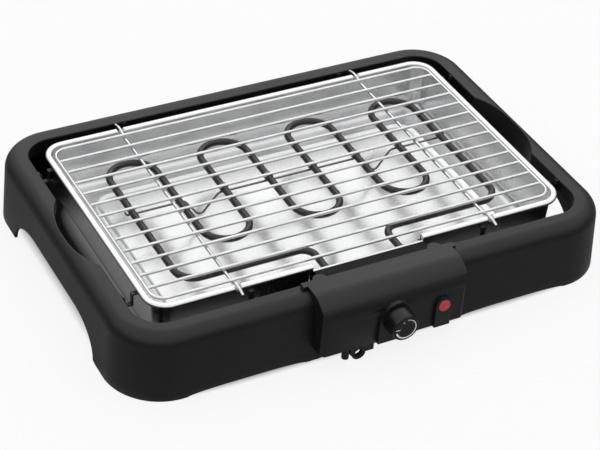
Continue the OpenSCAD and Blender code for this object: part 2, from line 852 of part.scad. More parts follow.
module posts(d, z0, z1) {
    for (s = [-1, 1]) {
        translate([s * (base_half - box_wall - post_in), inner_back - post_d, z0]) cylinder(d = d, h = z1 - z0);
        translate([s * (wing_x - box_wall - post_in), inner_front + post_in, z0]) cylinder(d = d, h = z1 - z0);
    }
}

module control_housing() {
    color("#1f1f21") difference() {
        union() {
            difference() {
                housing_body();
                // Hollow, open below
                x_run(-base_half + box_wall, base_half - box_wall) polygon(side_profile(box_wall, box_floor - 1));
                difference() {
                    x_run(-wing_x + box_wall, wing_x - box_wall) polygon(side_profile(box_wall, box_floor - 1));
                    rim_space(play + box_wall, base_half - box_wall);
                }
            }
            posts(post_d, inner_floor, inner_floor + post_h);
        }
        posts(pilot_d + 2 * screw_fit, inner_floor - 1, inner_floor + pilot_h);
        flange_holes(inner_back - 1, box_back + 1);
        // Thermostat's bushing and the nut's recess
        y_cyl(0, knob_z, pad_front - 1, inner_front + 1, bushing_d + 2 * hole_gap);
        y_cyl(0, knob_z, pad_front - 1, pad_front + nut_recess, nut_recess_d);
        // Lamp
        y_cyl(lamp_x, lamp_z, pad_front - 1, inner_front + 1, lens_d + 2 * screw_fit);
    }
}

module housing_body() {
    difference() {
        intersection() {
            x_run(-wing_x, wing_x) polygon(side_profile(0, box_floor));
            housing_plan();
        }
        rim_space(play, base_half);
    }
    // Raised pads
    intersection() {
        union() {
            pad(0, knob_z, pad_r);
            pad(lamp_x, lamp_z, lamp_pad_r);
        }
        span([-wing_x, pad_front, box_floor], [wing_x, box_front + box_r, box_top]);
    }
    // Rear lobes and side tabs
    for (s = [-1, 1]) {
        translate([s * lobe_x, lobe_y, saddle_z]) cylinder(r = lobe_r, h = box_top - saddle_z);
        span([s > 0 ? wing_x : -wing_x - tab_l, box_back - tab_w, saddle_z],
             [s > 0 ? wing_x + tab_l : -wing_x, box_back, box_top]);
    }
}

// Bottom cover, in one level with the housing's lower edge
module control_base() {
    g = screw_fit;
    front_back = frame_wall_y - wall / 2 - play - box_wall;
    wing = wing_x - box_wall - g;
    color("#242426") difference() {
        union() {
            span([-base_half + box_wall + g, inner_front + g, box_floor],
                 [base_half - box_wall - g, inner_back - g, inner_floor]);
            span([-wing, inner_front + corner_r, box_floor], [wing, front_back - g, inner_floor]);
            span([-wing + corner_r, inner_front + g, box_floor], [wing - corner_r, front_back - g, inner_floor]);
        }
        posts(pilot_d + 2 * screw_fit, box_floor - 1, inner_floor + 1);
        translate([switch_x, frame_wall_y, box_floor - 1]) cylinder(d = plunger_d + 2 * shaft_play, h = box_wall + 2);
        translate([-gland_x, clamp_mid_y, box_floor - 1]) cylinder(d = gland_bore, h = box_wall + 2);
        translate([clamp_screw_x, clamp_mid_y, box_floor - 1]) cylinder(d = pilot_d + 2 * screw_fit, h = box_wall + 2);
    }
}

module housing_screws() {
    color(plated) {
        posts(pilot_d, box_floor, inner_floor + pilot_h - 1);
        posts(head_ratio * pilot_d, box_floor - 1, box_floor);
    }
}

// ==== Thermostat and knob ====

module thermostat_body() {
    z0 = knob_z - thermostat_h / 2;
    color("#cfc8b4") difference() {
        union() {
            span([-thermostat_w / 2, thermostat_y, z0], [thermostat_w / 2, thermostat_back, z0 + thermostat_h]);
            y_cyl(0, knob_z, inner_front, thermostat_y, shoulder_d);
            y_cyl(0, knob_z, pad_front + 0.3, inner_front, bushing_d);
        }
        y_cyl(0, knob_z, pad_front - 1, thermostat_y + shaft_in, shaft_d + 2 * shaft_play);
    }
}

// Nut on the thermostat's bushing, below the knob
module thermostat_nut() {
    color("#c8b560") difference() {
        translate([0, pad_front + nut_recess, knob_z]) rotate([90, 0, 0]) cylinder(d = nut_d, h = nut_t, $fn = 6);
        y_cyl(0, knob_z, pad_front - 1, pad_front + nut_recess + 1, bushing_d + 2 * screw_fit);
    }
}

module d_shaft(y0, y1, d) {
    difference() {
        y_cyl(0, knob_z, y0, y1, d);
        span([-d, y0 - 1, knob_z + d / 2 - flat_d], [d, pad_front - play, knob_z + d]);
    }
}

module thermostat_shaft() {
    color(plated) d_shaft(pad_front - play - shaft_out, thermostat_y + shaft_in - 1, shaft_d);
}

module control_knob() {
    r = knob_d / 2;
    y_face = knob_front;
    color("#232325") difference() {
        translate([0, y_face, knob_z]) rotate([-90, 0, 0]) rotate_extrude() polygon(concat(
            [[0, 0]],
            arc(r - 3, 2, 2, -90, -10, 6),
            [[r, knob_h], [0, knob_h]]
        ));
        d_shaft(pad_front - play - shaft_out - 0.5, pad_front, shaft_d + 2 * screw_fit);
        knob_face_marks(mark_t + 1);
    }
}

// Plain marks in the knob's face: an arc that tapers round it, a dash and a dot
module knob_face_marks(h) {
    n = 32;
    turn = [for (i = [0 : n]) mark_from + mark_sweep * i / n];
    half = [for (i = [0 : n]) (mark_thick + (mark_thin - mark_thick) * i / n) / 2];
    translate([0, knob_front + mark_t, knob_z]) rotate([90, 0, 0]) linear_extrude(h) {
        polygon(concat(
            [for (i = [0 : n]) (mark_r + half[i]) * [cos(turn[i]), sin(turn[i])]],
            [for (i = [n : -1 : 0]) (mark_r - half[i]) * [cos(turn[i]), sin(turn[i])]]
        ));
        translate([-0.86 * mark_r, dash_w]) square([dash_l, dash_w], center = true);
        translate([-0.3 * mark_r, 0.78 * mark_r]) circle(d = dot_d);
    }
}

module knob_marks() {
    color("#f2f2f2") knob_face_marks(mark_t);
}

// ==== Lamp ====

module lamp_lens() {
    color("#c0303c") {
        y_cyl(lamp_x, lamp_z, pad_front - lens_out, inner_front, lens_d);
        y_cyl(lamp_x, lamp_z, inner_front, inner_front + lens_flange_t, lens_flange_d);
    }
}

module lamp_holder() {
    y0 = inner_front + lens_flange_t;
    color("#d8d4c8") {
        y_cyl(lamp_x, lamp_z, y0, y0 + holder_l, holder_d);
        span([lamp_x - holder_foot_w / 2, y0, inner_floor],
             [lamp_x + holder_foot_w / 2, y0 + holder_foot_t, lamp_z]);
    }
}

// ==== Safety switch ====

module safety_switch() {
    color("#2d2d30") difference() {
        span([switch_x - switch_w / 2, frame_wall_y - switch_t / 2, inner_floor],
             [switch_x + switch_w / 2, frame_wall_y + switch_t / 2, inner_floor + switch_h]);
        translate([switch_x, frame_wall_y, inner_floor - 1])
            cylinder(d = plunger_d + 2 * shaft_play, h = 1 + plunger_in + plunger_travel + 0.5);
    }
}

module switch_plunger() {
    color("#b8b2a4") translate([switch_x, frame_wall_y, plunger_z])
        cylinder(d = plunger_d, h = inner_floor - plunger_z + plunger_in);
}

// ==== Wiring ====

module thermal_cutout() {
    color("#b9babc") y_cyl(disc_x, element_z, inner_back - flange_t - disc_t, inner_back - flange_t, disc_d);
}

module terminal_block() {
    color("#e6e2d6") difference() {
        span([block_x - block_w / 2, block_y - block_t, inner_floor],
             [block_x + block_w / 2, block_y, inner_floor + block_h]);
        for (i = [-1, 0, 1]) translate([block_x + i * block_w / 3, block_y - block_t / 2, block_top])
            cylinder(d = block_hole_d, h = block_hole_h + 1);
    }
}

module earth_tag() {
    color("#c9b037") difference() {
        union() {
            y_cyl(flange_screw_x, element_z, inner_back - flange_t - earth_tag_t, inner_back - flange_t, tag_ring_d);
            span([flange_screw_x - earth_tag_w / 2, inner_back - flange_t - earth_tag_t, element_z - earth_tag_l],
                 [flange_screw_x + earth_tag_w / 2, inner_back - flange_t, element_z]);
        }
        y_cyl(flange_screw_x, element_z, inner_back - flange_t - 2, inner_back, bracket_screw_d + 2 * screw_fit);
    }
}

block_top = inner_floor + block_h - block_hole_h;
block_mid_y = block_y - block_t / 2;

// From the terminal block to the back of the thermostat
module supply_lead() {
    x = block_x + block_w / 3;
    z = inner_floor + block_h + lead_rise;
    color("#6b4a2f") square_wire([
        [x, block_mid_y, block_top], [x, block_mid_y, z], [x, thermostat_back, z]
    ], lead_d, lead_d);
}

// From the terminal block to the thermal cut-out
module neutral_lead() {
    x = block_x - block_w / 3;
    z = inner_floor + block_h + 2 * lead_rise;
    color("#2f5f9a") square_wire([
        [x, block_mid_y, block_top], [x, block_mid_y, z], [disc_x, block_mid_y, z],
        [disc_x, block_mid_y, element_z - disc_d / 2]
    ], lead_d, lead_d);
}

// From the cut-out and from the thermostat to the element's terminals
module element_leads() {
    tag_top = element_z + tag_t / 2;
    high = element_z + lead_above;
    tag_x = disc_x - disc_d / 5;
    y_tag = pin_end_y - tag_over / 2;
    disc_face = inner_back - flange_t - disc_t;
    color("#b9b4a8") {
        square_wire([
            [tag_x, disc_face, high], [tag_x, y_tag, high],
            [-terminal_x, y_tag, high], [-terminal_x, y_tag, tag_top]
        ], lead_d, lead_d);
        square_wire([
            [thermostat_w / 4, y_tag, knob_z + thermostat_h / 2], [thermostat_w / 4, y_tag, high],
            [terminal_x, y_tag, high], [terminal_x, y_tag, tag_top]
        ], lead_d, lead_d);
    }
}

// From the lamp's holder to the side of the thermostat
module lamp_lead() {
    y0 = inner_front + lens_flange_t + holder_l;
    mid_x = (lamp_x + thermostat_w / 2) / 2;
    color("#8a8f95") square_wire([
        [lamp_x, y0, lamp_z], [lamp_x, y0 + 2 * lead_d, lamp_z], [mid_x, y0 + 2 * lead_d, lamp_z],
        [mid_x, y0 - 2 * lead_d, lamp_z], [thermostat_w / 2, y0 - 2 * lead_d, lamp_z]
    ], lead_d, lead_d);
}

// ==== Cord entry ====

clamp_mid_y = (box_front + gland_l + clamp_back) / 2;

module cord_gland() {
    color("#1a1a1b") difference() {
        y_cyl(-gland_x, gland_z, box_front, box_front + gland_l, gland_d);
        y_cyl(-gland_x, gland_z, box_front - 1, box_front + gland_l + 1, gland_bore);
    }
}

// Block below the base that grips the cord and turns it up into the housing
module cord_clamp() {
    color("#202022") difference() {
        span([clamp_x0, box_front, clamp_z0], [clamp_x1, clamp_back, box_floor]);
        y_cyl(-gland_x, gland_z, box_front - 1, box_front + gland_l, gland_d + 2 * screw_fit);
        y_cyl(-gland_x, gland_z, box_front, clamp_mid_y, gland_bore);
        translate([-gland_x, clamp_mid_y, gland_z]) cylinder(d = gland_bore, h = box_floor - gland_z + 1);
        translate([clamp_screw_x, clamp_mid_y, 0]) cylinder(d = pilot_d + 2 * screw_fit, h = box_floor + 1);
    }
}

module clamp_screw() {
    color(plated) translate([clamp_screw_x, clamp_mid_y, 0]) {
        translate([0, 0, clamp_z0]) cylinder(d = pilot_d, h = inner_floor - clamp_z0);
        translate([0, 0, clamp_z0 - 1]) cylinder(d = head_ratio * pilot_d, h = 1);
    }
}

module support_peg() {
    color("#1f1f21") translate([clamp_x0 - peg_d / 2, box_front + peg_d / 2, box_floor - peg_l])
        cylinder(d = peg_d, h = peg_l);
}

// Stands a piece on the table, with the whole object centred
module placed() {
    translate([0, shift_y, foot_out]) children();
}

placed() frame_shell();
placed() foot_pads();
placed() tray_brackets();
placed() bracket_screws();
placed() drip_tray();
placed() rack_frame();
placed() rack_bars();
placed() rack_cross_wires();
placed() heating_element();
placed() element_stay();
placed() stay_clips();
placed() terminal_pins();
placed() terminal_insulators();
placed() element_bracket();
placed() element_flange();
placed() flange_screws();
placed() heat_shield();
placed() control_housing();
placed() control_base();
placed() housing_screws();
placed() thermostat_body();
placed() thermostat_nut();
placed() thermostat_shaft();
placed() control_knob();
placed() knob_marks();
placed() lamp_lens();
placed() lamp_holder();
placed() safety_switch();
placed() switch_plunger();
placed() thermal_cutout();
placed() terminal_block();
placed() earth_tag();
placed() supply_lead();
placed() neutral_lead();
placed() element_leads();
placed() lamp_lead();
placed() cord_gland();
placed() cord_clamp();
placed() clamp_screw();
placed() support_peg();
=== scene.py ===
# %% [markdown]
# # A table-top electric grill
#
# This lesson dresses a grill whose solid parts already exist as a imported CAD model. The grill is a black moulded
# frame, a bright steel drip tray hung inside it, a bent heating tube with its control unit, and a wire rack on top.
# Each step makes one real piece, or one finish, and says why it is made that way. Sizes are in millimetres in the
# text and in the sizes below, and become metres only when a mesh is written.

# %% Open the frame
import json
import math

import bmesh
import bpy
from mathutils import Matrix, Vector

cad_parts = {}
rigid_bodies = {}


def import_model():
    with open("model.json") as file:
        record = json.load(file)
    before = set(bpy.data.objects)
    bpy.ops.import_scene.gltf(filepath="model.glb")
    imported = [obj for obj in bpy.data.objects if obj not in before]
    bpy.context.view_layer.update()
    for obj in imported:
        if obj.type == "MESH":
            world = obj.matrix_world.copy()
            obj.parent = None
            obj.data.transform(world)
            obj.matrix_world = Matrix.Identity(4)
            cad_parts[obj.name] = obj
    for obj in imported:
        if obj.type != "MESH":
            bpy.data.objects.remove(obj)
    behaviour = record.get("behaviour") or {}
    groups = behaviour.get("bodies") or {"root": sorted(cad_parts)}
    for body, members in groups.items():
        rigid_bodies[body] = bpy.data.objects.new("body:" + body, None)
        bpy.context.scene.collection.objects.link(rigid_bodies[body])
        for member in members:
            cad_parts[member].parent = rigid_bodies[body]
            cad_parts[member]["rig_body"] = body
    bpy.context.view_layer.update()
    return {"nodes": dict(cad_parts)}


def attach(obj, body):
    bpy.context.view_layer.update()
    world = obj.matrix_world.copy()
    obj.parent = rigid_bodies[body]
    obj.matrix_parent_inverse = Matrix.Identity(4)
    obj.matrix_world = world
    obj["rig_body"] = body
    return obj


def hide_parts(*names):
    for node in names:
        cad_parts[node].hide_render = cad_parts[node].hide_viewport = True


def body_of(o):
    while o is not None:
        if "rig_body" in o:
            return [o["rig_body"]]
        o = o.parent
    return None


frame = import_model()
bpy.context.scene.view_settings.view_transform = "Standard"

# %% [markdown]
# ## Camera
#
# The camera comes first, because every later choice of detail depends on how large a piece is in the picture.
# A long lens from about 1.7 m away, a little to the left and looking down 37 degrees, keeps the long edges of the
# frame nearly parallel, as product pictures do. The three axes are written out instead of a Track To constraint, so
# the small roll of the picture is kept.

# %% Camera
def make_camera():
    camera = bpy.data.objects.new("camera", bpy.data.cameras.new("camera"))
    bpy.context.scene.collection.objects.link(camera)
    right, up, back = (
        Vector((0.88699, -0.45782, 0.06045)),
        Vector((0.23360, 0.55774, 0.79647)),
        Vector((-0.39835, -0.69234, 0.60165)),
    )
    turned = Matrix((right, up, back)).transposed()
    camera.matrix_world = Matrix.Translation((-0.6794, -1.16996, 1.0394)) @ turned.to_4x4()
    camera.data.sensor_width = 36
    camera.data.lens = 113.07
    bpy.context.scene.camera = camera
    return camera


camera = make_camera()
print("camera", [round(v, 3) for v in camera.location])

# %% [markdown]
# ## Light and floor
#
# A satin black moulding shows almost nothing but reflections, and polished steel shows nothing else. So the light
# is a room more than a lamp: a soft sky that is bright overhead and dim towards the horizon, a pale glow low
# behind the grill, and one soft panel on the same side, which the tray's floor and the rear rim mirror back. The
# node trees below add, multiply and remap numbers all the time, so three small helpers come first.

# %% Sums, products and spans in a node tree
def feed(tree, socket, value):
    """Sets a socket to a number, or links another socket to it."""
    if isinstance(value, (int, float)):
        socket.default_value = value
    else:
        tree.links.new(value, socket)


def sum_of(tree, first, second, operation="ADD"):
    node = tree.nodes.new("ShaderNodeMath")
    node.operation = operation
    for socket, value in zip(node.inputs, (first, second)):
        feed(tree, socket, value)
    return node.outputs[0]


def product_of(tree, first, second):
    return sum_of(tree, first, second, "MULTIPLY")


def span_of(tree, value, from_span, to_span=(0.0, 1.0)):
    """Maps a value from one span to another and holds it at both ends."""
    node = tree.nodes.new("ShaderNodeMapRange")
    labels = "Value", "From Min", "From Max", "To Min", "To Max"
    for label, part in zip(labels, (value, *from_span, *to_span)):
        feed(tree, node.inputs[label], part)
    return node.outputs[0]


print("node helpers ready")


# %% Sky
# Height above the horizon, from 0 to 1, and brightness there
SKY_STOPS = [(0.0, 0.22), (0.18, 0.22), (0.36, 0.45), (0.54, 1.0), (1.0, 1.15)]
BACKDROP_WAY, BACKDROP_EDGE, BACKDROP_COLOUR = (0.26, 0.966, 0), (0.86, 0.96), (1.05, 1.05, 1.06, 1)


def sky_ramp(tree):
    ramp = tree.nodes.new("ShaderNodeValToRGB")
    ramp.color_ramp.interpolation = "EASE"
    ramp.color_ramp.elements[0].position = SKY_STOPS[0][0]
    ramp.color_ramp.elements[1].position = SKY_STOPS[-1][0]
    for height, _ in SKY_STOPS[1:-1]:
        ramp.color_ramp.elements.new(height)
    for element, (height, level) in zip(ramp.color_ramp.elements, SKY_STOPS):
        element.position = height
        element.color = (level, level, level * 1.01, 1)
    return ramp


def make_sky():
    world = bpy.data.worlds.new("studio_sky")
    bpy.context.scene.world = world
    world.use_nodes = True
    tree = world.node_tree
    tree.nodes.clear()
    where = tree.nodes.new("ShaderNodeTexCoord").outputs["Generated"]
    split = tree.nodes.new("ShaderNodeSeparateXYZ")
    ramp = sky_ramp(tree)
    tree.links.new(where, split.inputs[0])
    tree.links.new(split.outputs["Z"], ramp.inputs[0])
    aside = tree.nodes.new("ShaderNodeVectorMath")
    aside.operation = "DOT_PRODUCT"
    aside.inputs[1].default_value = BACKDROP_WAY
    tree.links.new(where, aside.inputs[0])
    both = tree.nodes.new("ShaderNodeMix")
    both.data_type = "RGBA"
    both.inputs["B"].default_value = BACKDROP_COLOUR
    tree.links.new(span_of(tree, aside.outputs["Value"], BACKDROP_EDGE), both.inputs["Factor"])
    tree.links.new(ramp.outputs[0], both.inputs["A"])
    shine = tree.nodes.new("ShaderNodeBackground")
    out = tree.nodes.new("ShaderNodeOutputWorld")
    shine.inputs["Strength"].default_value = 1.0
    tree.links.new(both.outputs["Result"], shine.inputs["Color"])
    tree.links.new(shine.outputs[0], out.inputs["Surface"])
    return world


make_sky()
print("sky made")


# %% Soft panel
def soft_panel(name, place, target, width, height, power):
    light = bpy.data.lights.new(name, "AREA")
    light.shape = "RECTANGLE"
    light.size, light.size_y, light.energy = width, height, power
    lamp = bpy.data.objects.new(name, light)
    bpy.context.scene.collection.objects.link(lamp)
    aim = Vector(target) - Vector(place)
    lamp.matrix_world = Matrix.Translation(place) @ aim.to_track_quat("-Z", "Y").to_matrix().to_4x4()
    return lamp


panel = soft_panel("panel_behind", (0.75, 1.55, 1.45), (0.05, 0.0, 0.0), 1.9, 1.2, 4.5)
print("panel made:", panel.name)

# %% [markdown]
# The floor is one big sheet. A mix of diffuse paper white and a plain glow of strength 1 keeps it white for the
# rays that see it directly, and its diffuse share still darkens below the frame, so the grill stands on something.
#
# It isn't the same all over, and the differences are painted light and shade. Under the grill the paper's colour
# drops to 4 per cent wherever something stands close above it: painted shade, which darkens the gap round the tray
# and the tray's outer walls that mirror it. An Ambient Occlusion node tells where that is, so lifting the tray shows
# plain white paper again. Straight below the tray the camera sees a faint painted grey glow. In mirrors the glow is
# a painted reflection: weaker, fading with distance, and below the grill only in the strips beside the carrying
# arches. All the masks are rounded rectangles in metres round the part's middle.


# %% Masks on the floor
SHIFT_Y, SHIFT_Z = 15.84, 1.2
ROUNDNESS = 8.0


def lit_share(tree, half_sizes, back, edge_span):
    """0 in a rectangle under the grill, rising to 1 outside: a mask for the floor's painted shade and painted glow.
    Back moves it away from the camera.
    """
    where = tree.nodes.new("ShaderNodeTexCoord")
    half_x, half_y = half_sizes
    scaled = tree.nodes.new("ShaderNodeMapping")
    scaled.inputs["Scale"].default_value = (1 / half_x, 1 / half_y, 0)
    scaled.inputs["Location"].default_value = (0, -(SHIFT_Y * 0.001 + back) / half_y, 0)
    away = tree.nodes.new("ShaderNodeVectorMath")
    away.operation = "ABSOLUTE"
    split = tree.nodes.new("ShaderNodeSeparateXYZ")
    tree.links.new(where.outputs["Object"], scaled.inputs["Vector"])
    tree.links.new(scaled.outputs[0], away.inputs[0])
    tree.links.new(away.outputs[0], split.inputs[0])
    rounded = sum_of(tree, *(sum_of(tree, split.outputs[axis], ROUNDNESS, "POWER") for axis in ("X", "Y")))
    return span_of(tree, sum_of(tree, rounded, 1 / ROUNDNESS, "POWER"), edge_span)


def not_covered(tree, reach=0.06):
    """1 where nothing stands within reach above the floor. Where it is 0 under the grill, the floor gets painted
    shade.
    """
    cover = tree.nodes.new("ShaderNodeAmbientOcclusion")
    cover.samples, cover.inputs["Distance"].default_value = 16, reach
    return span_of(tree, cover.outputs["AO"], (0.88, 0.98))


def glow_strength(tree, outside, glossy):
    """1 for direct rays. For mirrored ones, a painted reflection: 0.18 near the middle, 0.32 outside the grill and 0.1
    far away.
    """
    where = tree.nodes.new("ShaderNodeTexCoord")
    distance = tree.nodes.new("ShaderNodeVectorMath")
    distance.operation = "LENGTH"
    tree.links.new(where.outputs["Object"], distance.inputs[0])
    near = sum_of(tree, product_of(tree, outside, 0.14), 0.18)
    dimmed = span_of(tree, distance.outputs["Value"], (0.4, 0.9), (near, 0.1))
    return span_of(tree, glossy, (0.0, 1.0), (1.0, dimmed))


print("roundness of the masks:", ROUNDNESS)


# %% Floor
def floor_painted_shade_and_glow():
    paper = bpy.data.materials.new("floor_painted_shade_and_glow")
    paper.use_nodes = True
    tree = paper.node_tree
    tree.nodes.clear()
    rays = tree.nodes.new("ShaderNodeLightPath").outputs
    beside_grill = lit_share(tree, (0.222, 0.167), 0.009, (0.98, 1.04))
    outside = lit_share(tree, (0.2371, 0.1626), 0.0, (1.0, 1.05))
    beyond_tray = lit_share(tree, (0.19, 1.0), 0.0, (1.0, 1.1))
    off_arches = lit_share(tree, (1.0, 0.1), 0.0, (0.9, 1.3))
    by_arches = product_of(tree, beyond_tray, sum_of(tree, 1.0, off_arches, "SUBTRACT"))
    below_tray = sum_of(tree, 1.0, lit_share(tree, (0.1865, 0.13), 0.0, (0.97, 1.03)), "SUBTRACT")
    open_floor = sum_of(tree, beside_grill, not_covered(tree), "MAXIMUM")

    diffuse = tree.nodes.new("ShaderNodeBsdfDiffuse")
    # Painted shade: under the grill, where something stands close above it, the paper's colour drops from 0.82 to
    # 0.04.
    shade = tree.nodes.new("ShaderNodeValToRGB")
    for element, level in zip(shade.color_ramp.elements, (0.04, 0.82)):
        element.color = (level, level, level, 1)
    tree.links.new(open_floor, shade.inputs[0])
    tree.links.new(shade.outputs[0], diffuse.inputs["Color"])
    glow = tree.nodes.new("ShaderNodeEmission")
    tree.links.new(glow_strength(tree, outside, rays["Is Glossy Ray"]), glow.inputs["Strength"])

    # Camera rays see white glow on the open floor and a faint painted grey glow of 0.13 straight below the tray.
    seen = sum_of(tree, product_of(tree, open_floor, 0.86), product_of(tree, below_tray, 0.13))
    direct = product_of(tree, sum_of(tree, rays["Is Camera Ray"], rays["Is Transmission Ray"]), seen)
    # Mirrored rays see the glow only outside the grill and beside the arches: a painted reflection whose strength
    # depends on place.
    in_mirrors = product_of(tree, rays["Is Glossy Ray"], sum_of(tree, outside, by_arches, "MAXIMUM"))
    mix = tree.nodes.new("ShaderNodeMixShader")
    out = tree.nodes.new("ShaderNodeOutputMaterial")
    tree.links.new(sum_of(tree, direct, in_mirrors), mix.inputs[0])
    tree.links.new(diffuse.outputs[0], mix.inputs[1])
    tree.links.new(glow.outputs[0], mix.inputs[2])
    tree.links.new(mix.outputs[0], out.inputs["Surface"])
    return paper


def make_floor(half=9.0):
    mesh = bpy.data.meshes.new("floor")
    corners = [(sx * half, sy * half, 0) for sx, sy in ((-1, -1), (1, -1), (1, 1), (-1, 1))]
    mesh.from_pydata(corners, [], [(0, 1, 2, 3)])
    mesh.materials.append(floor_painted_shade_and_glow())
    floor = bpy.data.objects.new("floor", mesh)
    bpy.context.scene.collection.objects.link(floor)
    return floor


make_floor()
print("floor made")

# %% [markdown]
# ## Sizes and stations
#
# The frame and the tray are both one cross-section carried round a rounded rectangle. So the lesson needs two
# helpers before any piece: a list of stations round such a rectangle, and the point of a station on a rectangle of
# any length, width and corner radius. Growing all three by the same offset gives the next line outwards, which is
# how a mould maker offsets a parting line.

# %% Sizes in millimetres, in the part's own coordinates
OPENING_L, OPENING_W, OPENING_R = 425.0, 276.0, 26.0
FRAME_H, RIM_W, SHOULDER_R, WALL, LIP_H = 64.0, 21.5, 13.0, 2.8, 12.0
LEAN = math.tan(math.radians(3.5))
NOTCH_HALF, NOTCH_Z = 62.0, 13.2
TRAY_L, TRAY_W, TRAY_R, TRAY_TOP, SHEET = 400.0, 251.0, 21.0, 68.0, 0.8
TRAY_RIM, TRAY_FLOOR, FILLET, TRAY_LEAN = 6.0, 20.0, 9.0, math.tan(math.radians(3))
CUT_HALF, CUT_Z = 53.0, 48.0
CROSS_X, WIRE = 122.0, 3.0
RACK_L, RACK_W, RACK_R, BAR_Z, CROSS_Z, HUMP_Z = 383.2, 227.0, 12.0, 67.1, 64.4, 67.2
TUBE, LEG_PITCH, ELEMENT_Z = 6.5, 44.4, 55.8


def row(x, y, z):
    """A point of the part, in metres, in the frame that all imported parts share."""
    return Vector((x, y + SHIFT_Y, z + SHIFT_Z)) * 0.001


# %% Stations round a rounded rectangle
def stations(long_marks, short_marks, half_l, half_w, corner_steps=24):
    """Side and place, counter-clockwise from the middle of the front. Marks are in millimetres."""
    made = [("side", 3, m / half_l) for m in long_marks if m > 0]
    for side in range(4):
        marks, half = (short_marks, half_w) if side % 2 == 0 else (long_marks, half_l)
        made += [("corner", side - 1, 90 * k / corner_steps) for k in range(1, corner_steps)]
        if side < 3:
            made += [("side", side, m / half) for m in marks]
    made += [("side", 3, m / half_l) for m in long_marks if m < 0]
    return made


def on_ring(station, length, width, r):
    """The point of a station on a rounded rectangle, without its height."""
    kind, i, t = station
    if kind == "side":
        x, y = length / 2, t * (width / 2 - r)
        if i % 2:
            x, y = width / 2, t * (length / 2 - r)
    else:
        i = i % 4
        half = (length / 2 - r, width / 2 - r) if i % 2 == 0 else (width / 2 - r, length / 2 - r)
        a = math.radians(t)
        x, y = half[0] + r * math.cos(a), half[1] + r * math.sin(a)
    c, s = ((1, 0), (0, 1), (-1, 0), (0, -1))[i]
    return x * c - y * s, x * s + y * c


def even(start, stop, step):
    n = max(1, round((stop - start) / step))
    return [start + (stop - start) * k / n for k in range(n + 1)]


def tidy(marks, least=0.2):
    kept = []
    for m in sorted(marks):
        if not kept or m - kept[-1] > least:
            kept.append(m)
    return kept


def mirrored(marks):
    return tidy([-m for m in marks] + list(marks))


def on_circle(cx, cy, r, degrees):
    return cx + r * math.cos(math.radians(degrees)), cy + r * math.sin(math.radians(degrees))


def arc(cx, cy, r, a0, a1, n):
    return [on_circle(cx, cy, r, a0 + (a1 - a0) * k / n) for k in range(n + 1)]


print("a corner point:", on_ring(("corner", 0, 45), OPENING_L, OPENING_W, OPENING_R))

# %% [markdown]
# ## Finishes
#
# Every finish here is a Principled shader with small patterns in front of it. Patterns that several finishes share
# are shader node groups: the grain of a moulding tool, the direction of brushed metal, soft clouds of handling and
# heat, and the brighter line that rubbing leaves on an edge. A group gives out only heights and masks, and each
# material decides what it does with them. All of them read Object coordinates, so they are in metres and do not
# slide when a joint moves.

# %% Group helpers
def new_group(name, inputs, outputs):
    group = bpy.data.node_groups.new(name, "ShaderNodeTree")
    for label, value in inputs:
        group.interface.new_socket(label, in_out="INPUT", socket_type="NodeSocketFloat").default_value = value
    for label in outputs:
        group.interface.new_socket(label, in_out="OUTPUT", socket_type="NodeSocketFloat")
    return group, group.nodes.new("NodeGroupInput"), group.nodes.new("NodeGroupOutput")


def object_noise(tree, scale, detail=2.0, stretch=(1, 1, 1)):
    """Noise on Object coordinates. Scale may be a number or a socket."""
    where = tree.nodes.new("ShaderNodeTexCoord")
    mapping = tree.nodes.new("ShaderNodeMapping")
    mapping.inputs["Scale"].default_value = stretch
    speckle = tree.nodes.new("ShaderNodeTexNoise")
    speckle.inputs["Detail"].default_value = detail
    tree.links.new(where.outputs["Object"], mapping.inputs["Vector"])
    tree.links.new(mapping.outputs[0], speckle.inputs["Vector"])
    feed(tree, speckle.inputs["Scale"], scale)
    return speckle.outputs["Fac"]


print("helpers ready")


# %% Grain of a moulding tool
def make_grain_group():
    scales = [("Grain scale", 1100.0), ("Flow scale", 14.0)]
    group, given, out = new_group("tool_grain", scales, ["Height", "Tone"])
    fine = object_noise(group, given.outputs["Grain scale"], 3.0)
    flow = object_noise(group, given.outputs["Flow scale"], 4.0)
    group.links.new(sum_of(group, fine, product_of(group, flow, 0.35)), out.inputs["Height"])
    group.links.new(flow, out.inputs["Tone"])
    return group


# %% Direction of brushed and drawn metal
def make_brushing_group():
    group, given, out = new_group("brushed_lines", [("Line scale", 700.0)], ["Height"])
    upright = object_noise(group, given.outputs["Line scale"], 2.0, (1, 1, 0.015))
    along = object_noise(group, given.outputs["Line scale"], 2.0, (0.012, 1, 1))
    facing = group.nodes.new("ShaderNodeNewGeometry")
    split = group.nodes.new("ShaderNodeSeparateXYZ")
    group.links.new(facing.outputs["True Normal"], split.inputs[0])
    flat = sum_of(group, split.outputs["Z"], 2.0, "POWER")
    low = product_of(group, along, flat)
    side = product_of(group, upright, sum_of(group, 1.0, flat, "SUBTRACT"))
    group.links.new(sum_of(group, low, side), out.inputs["Height"])
    return group


# %% Clouds of handling and heat
def make_cloud_group():
    scales = [("Cloud scale", 22.0), ("Spot scale", 160.0)]
    group, given, out = new_group("soft_clouds", scales, ["Clouds", "Spots"])
    clouds = object_noise(group, given.outputs["Cloud scale"], 5.0)
    spots = object_noise(group, given.outputs["Spot scale"], 3.0)
    group.links.new(clouds, out.inputs["Clouds"])
    group.links.new(product_of(group, spots, clouds), out.inputs["Spots"])
    return group


# %% Rubbed edges
def make_rub_group():
    group, given, out = new_group("rubbed_edges", [("From", 0.52), ("To", 0.62)], ["Rub"])
    sharp = group.nodes.new("ShaderNodeNewGeometry").outputs["Pointiness"]
    edges = span_of(group, sharp, (given.outputs["From"], given.outputs["To"]))
    group.links.new(product_of(group, edges, object_noise(group, 300.0, 2.0)), out.inputs["Rub"])
    return group


GRAIN, BRUSHING, CLOUDS, RUB = make_grain_group(), make_brushing_group(), make_cloud_group(), make_rub_group()
print("groups:", [g.name for g in (GRAIN, BRUSHING, CLOUDS, RUB)])


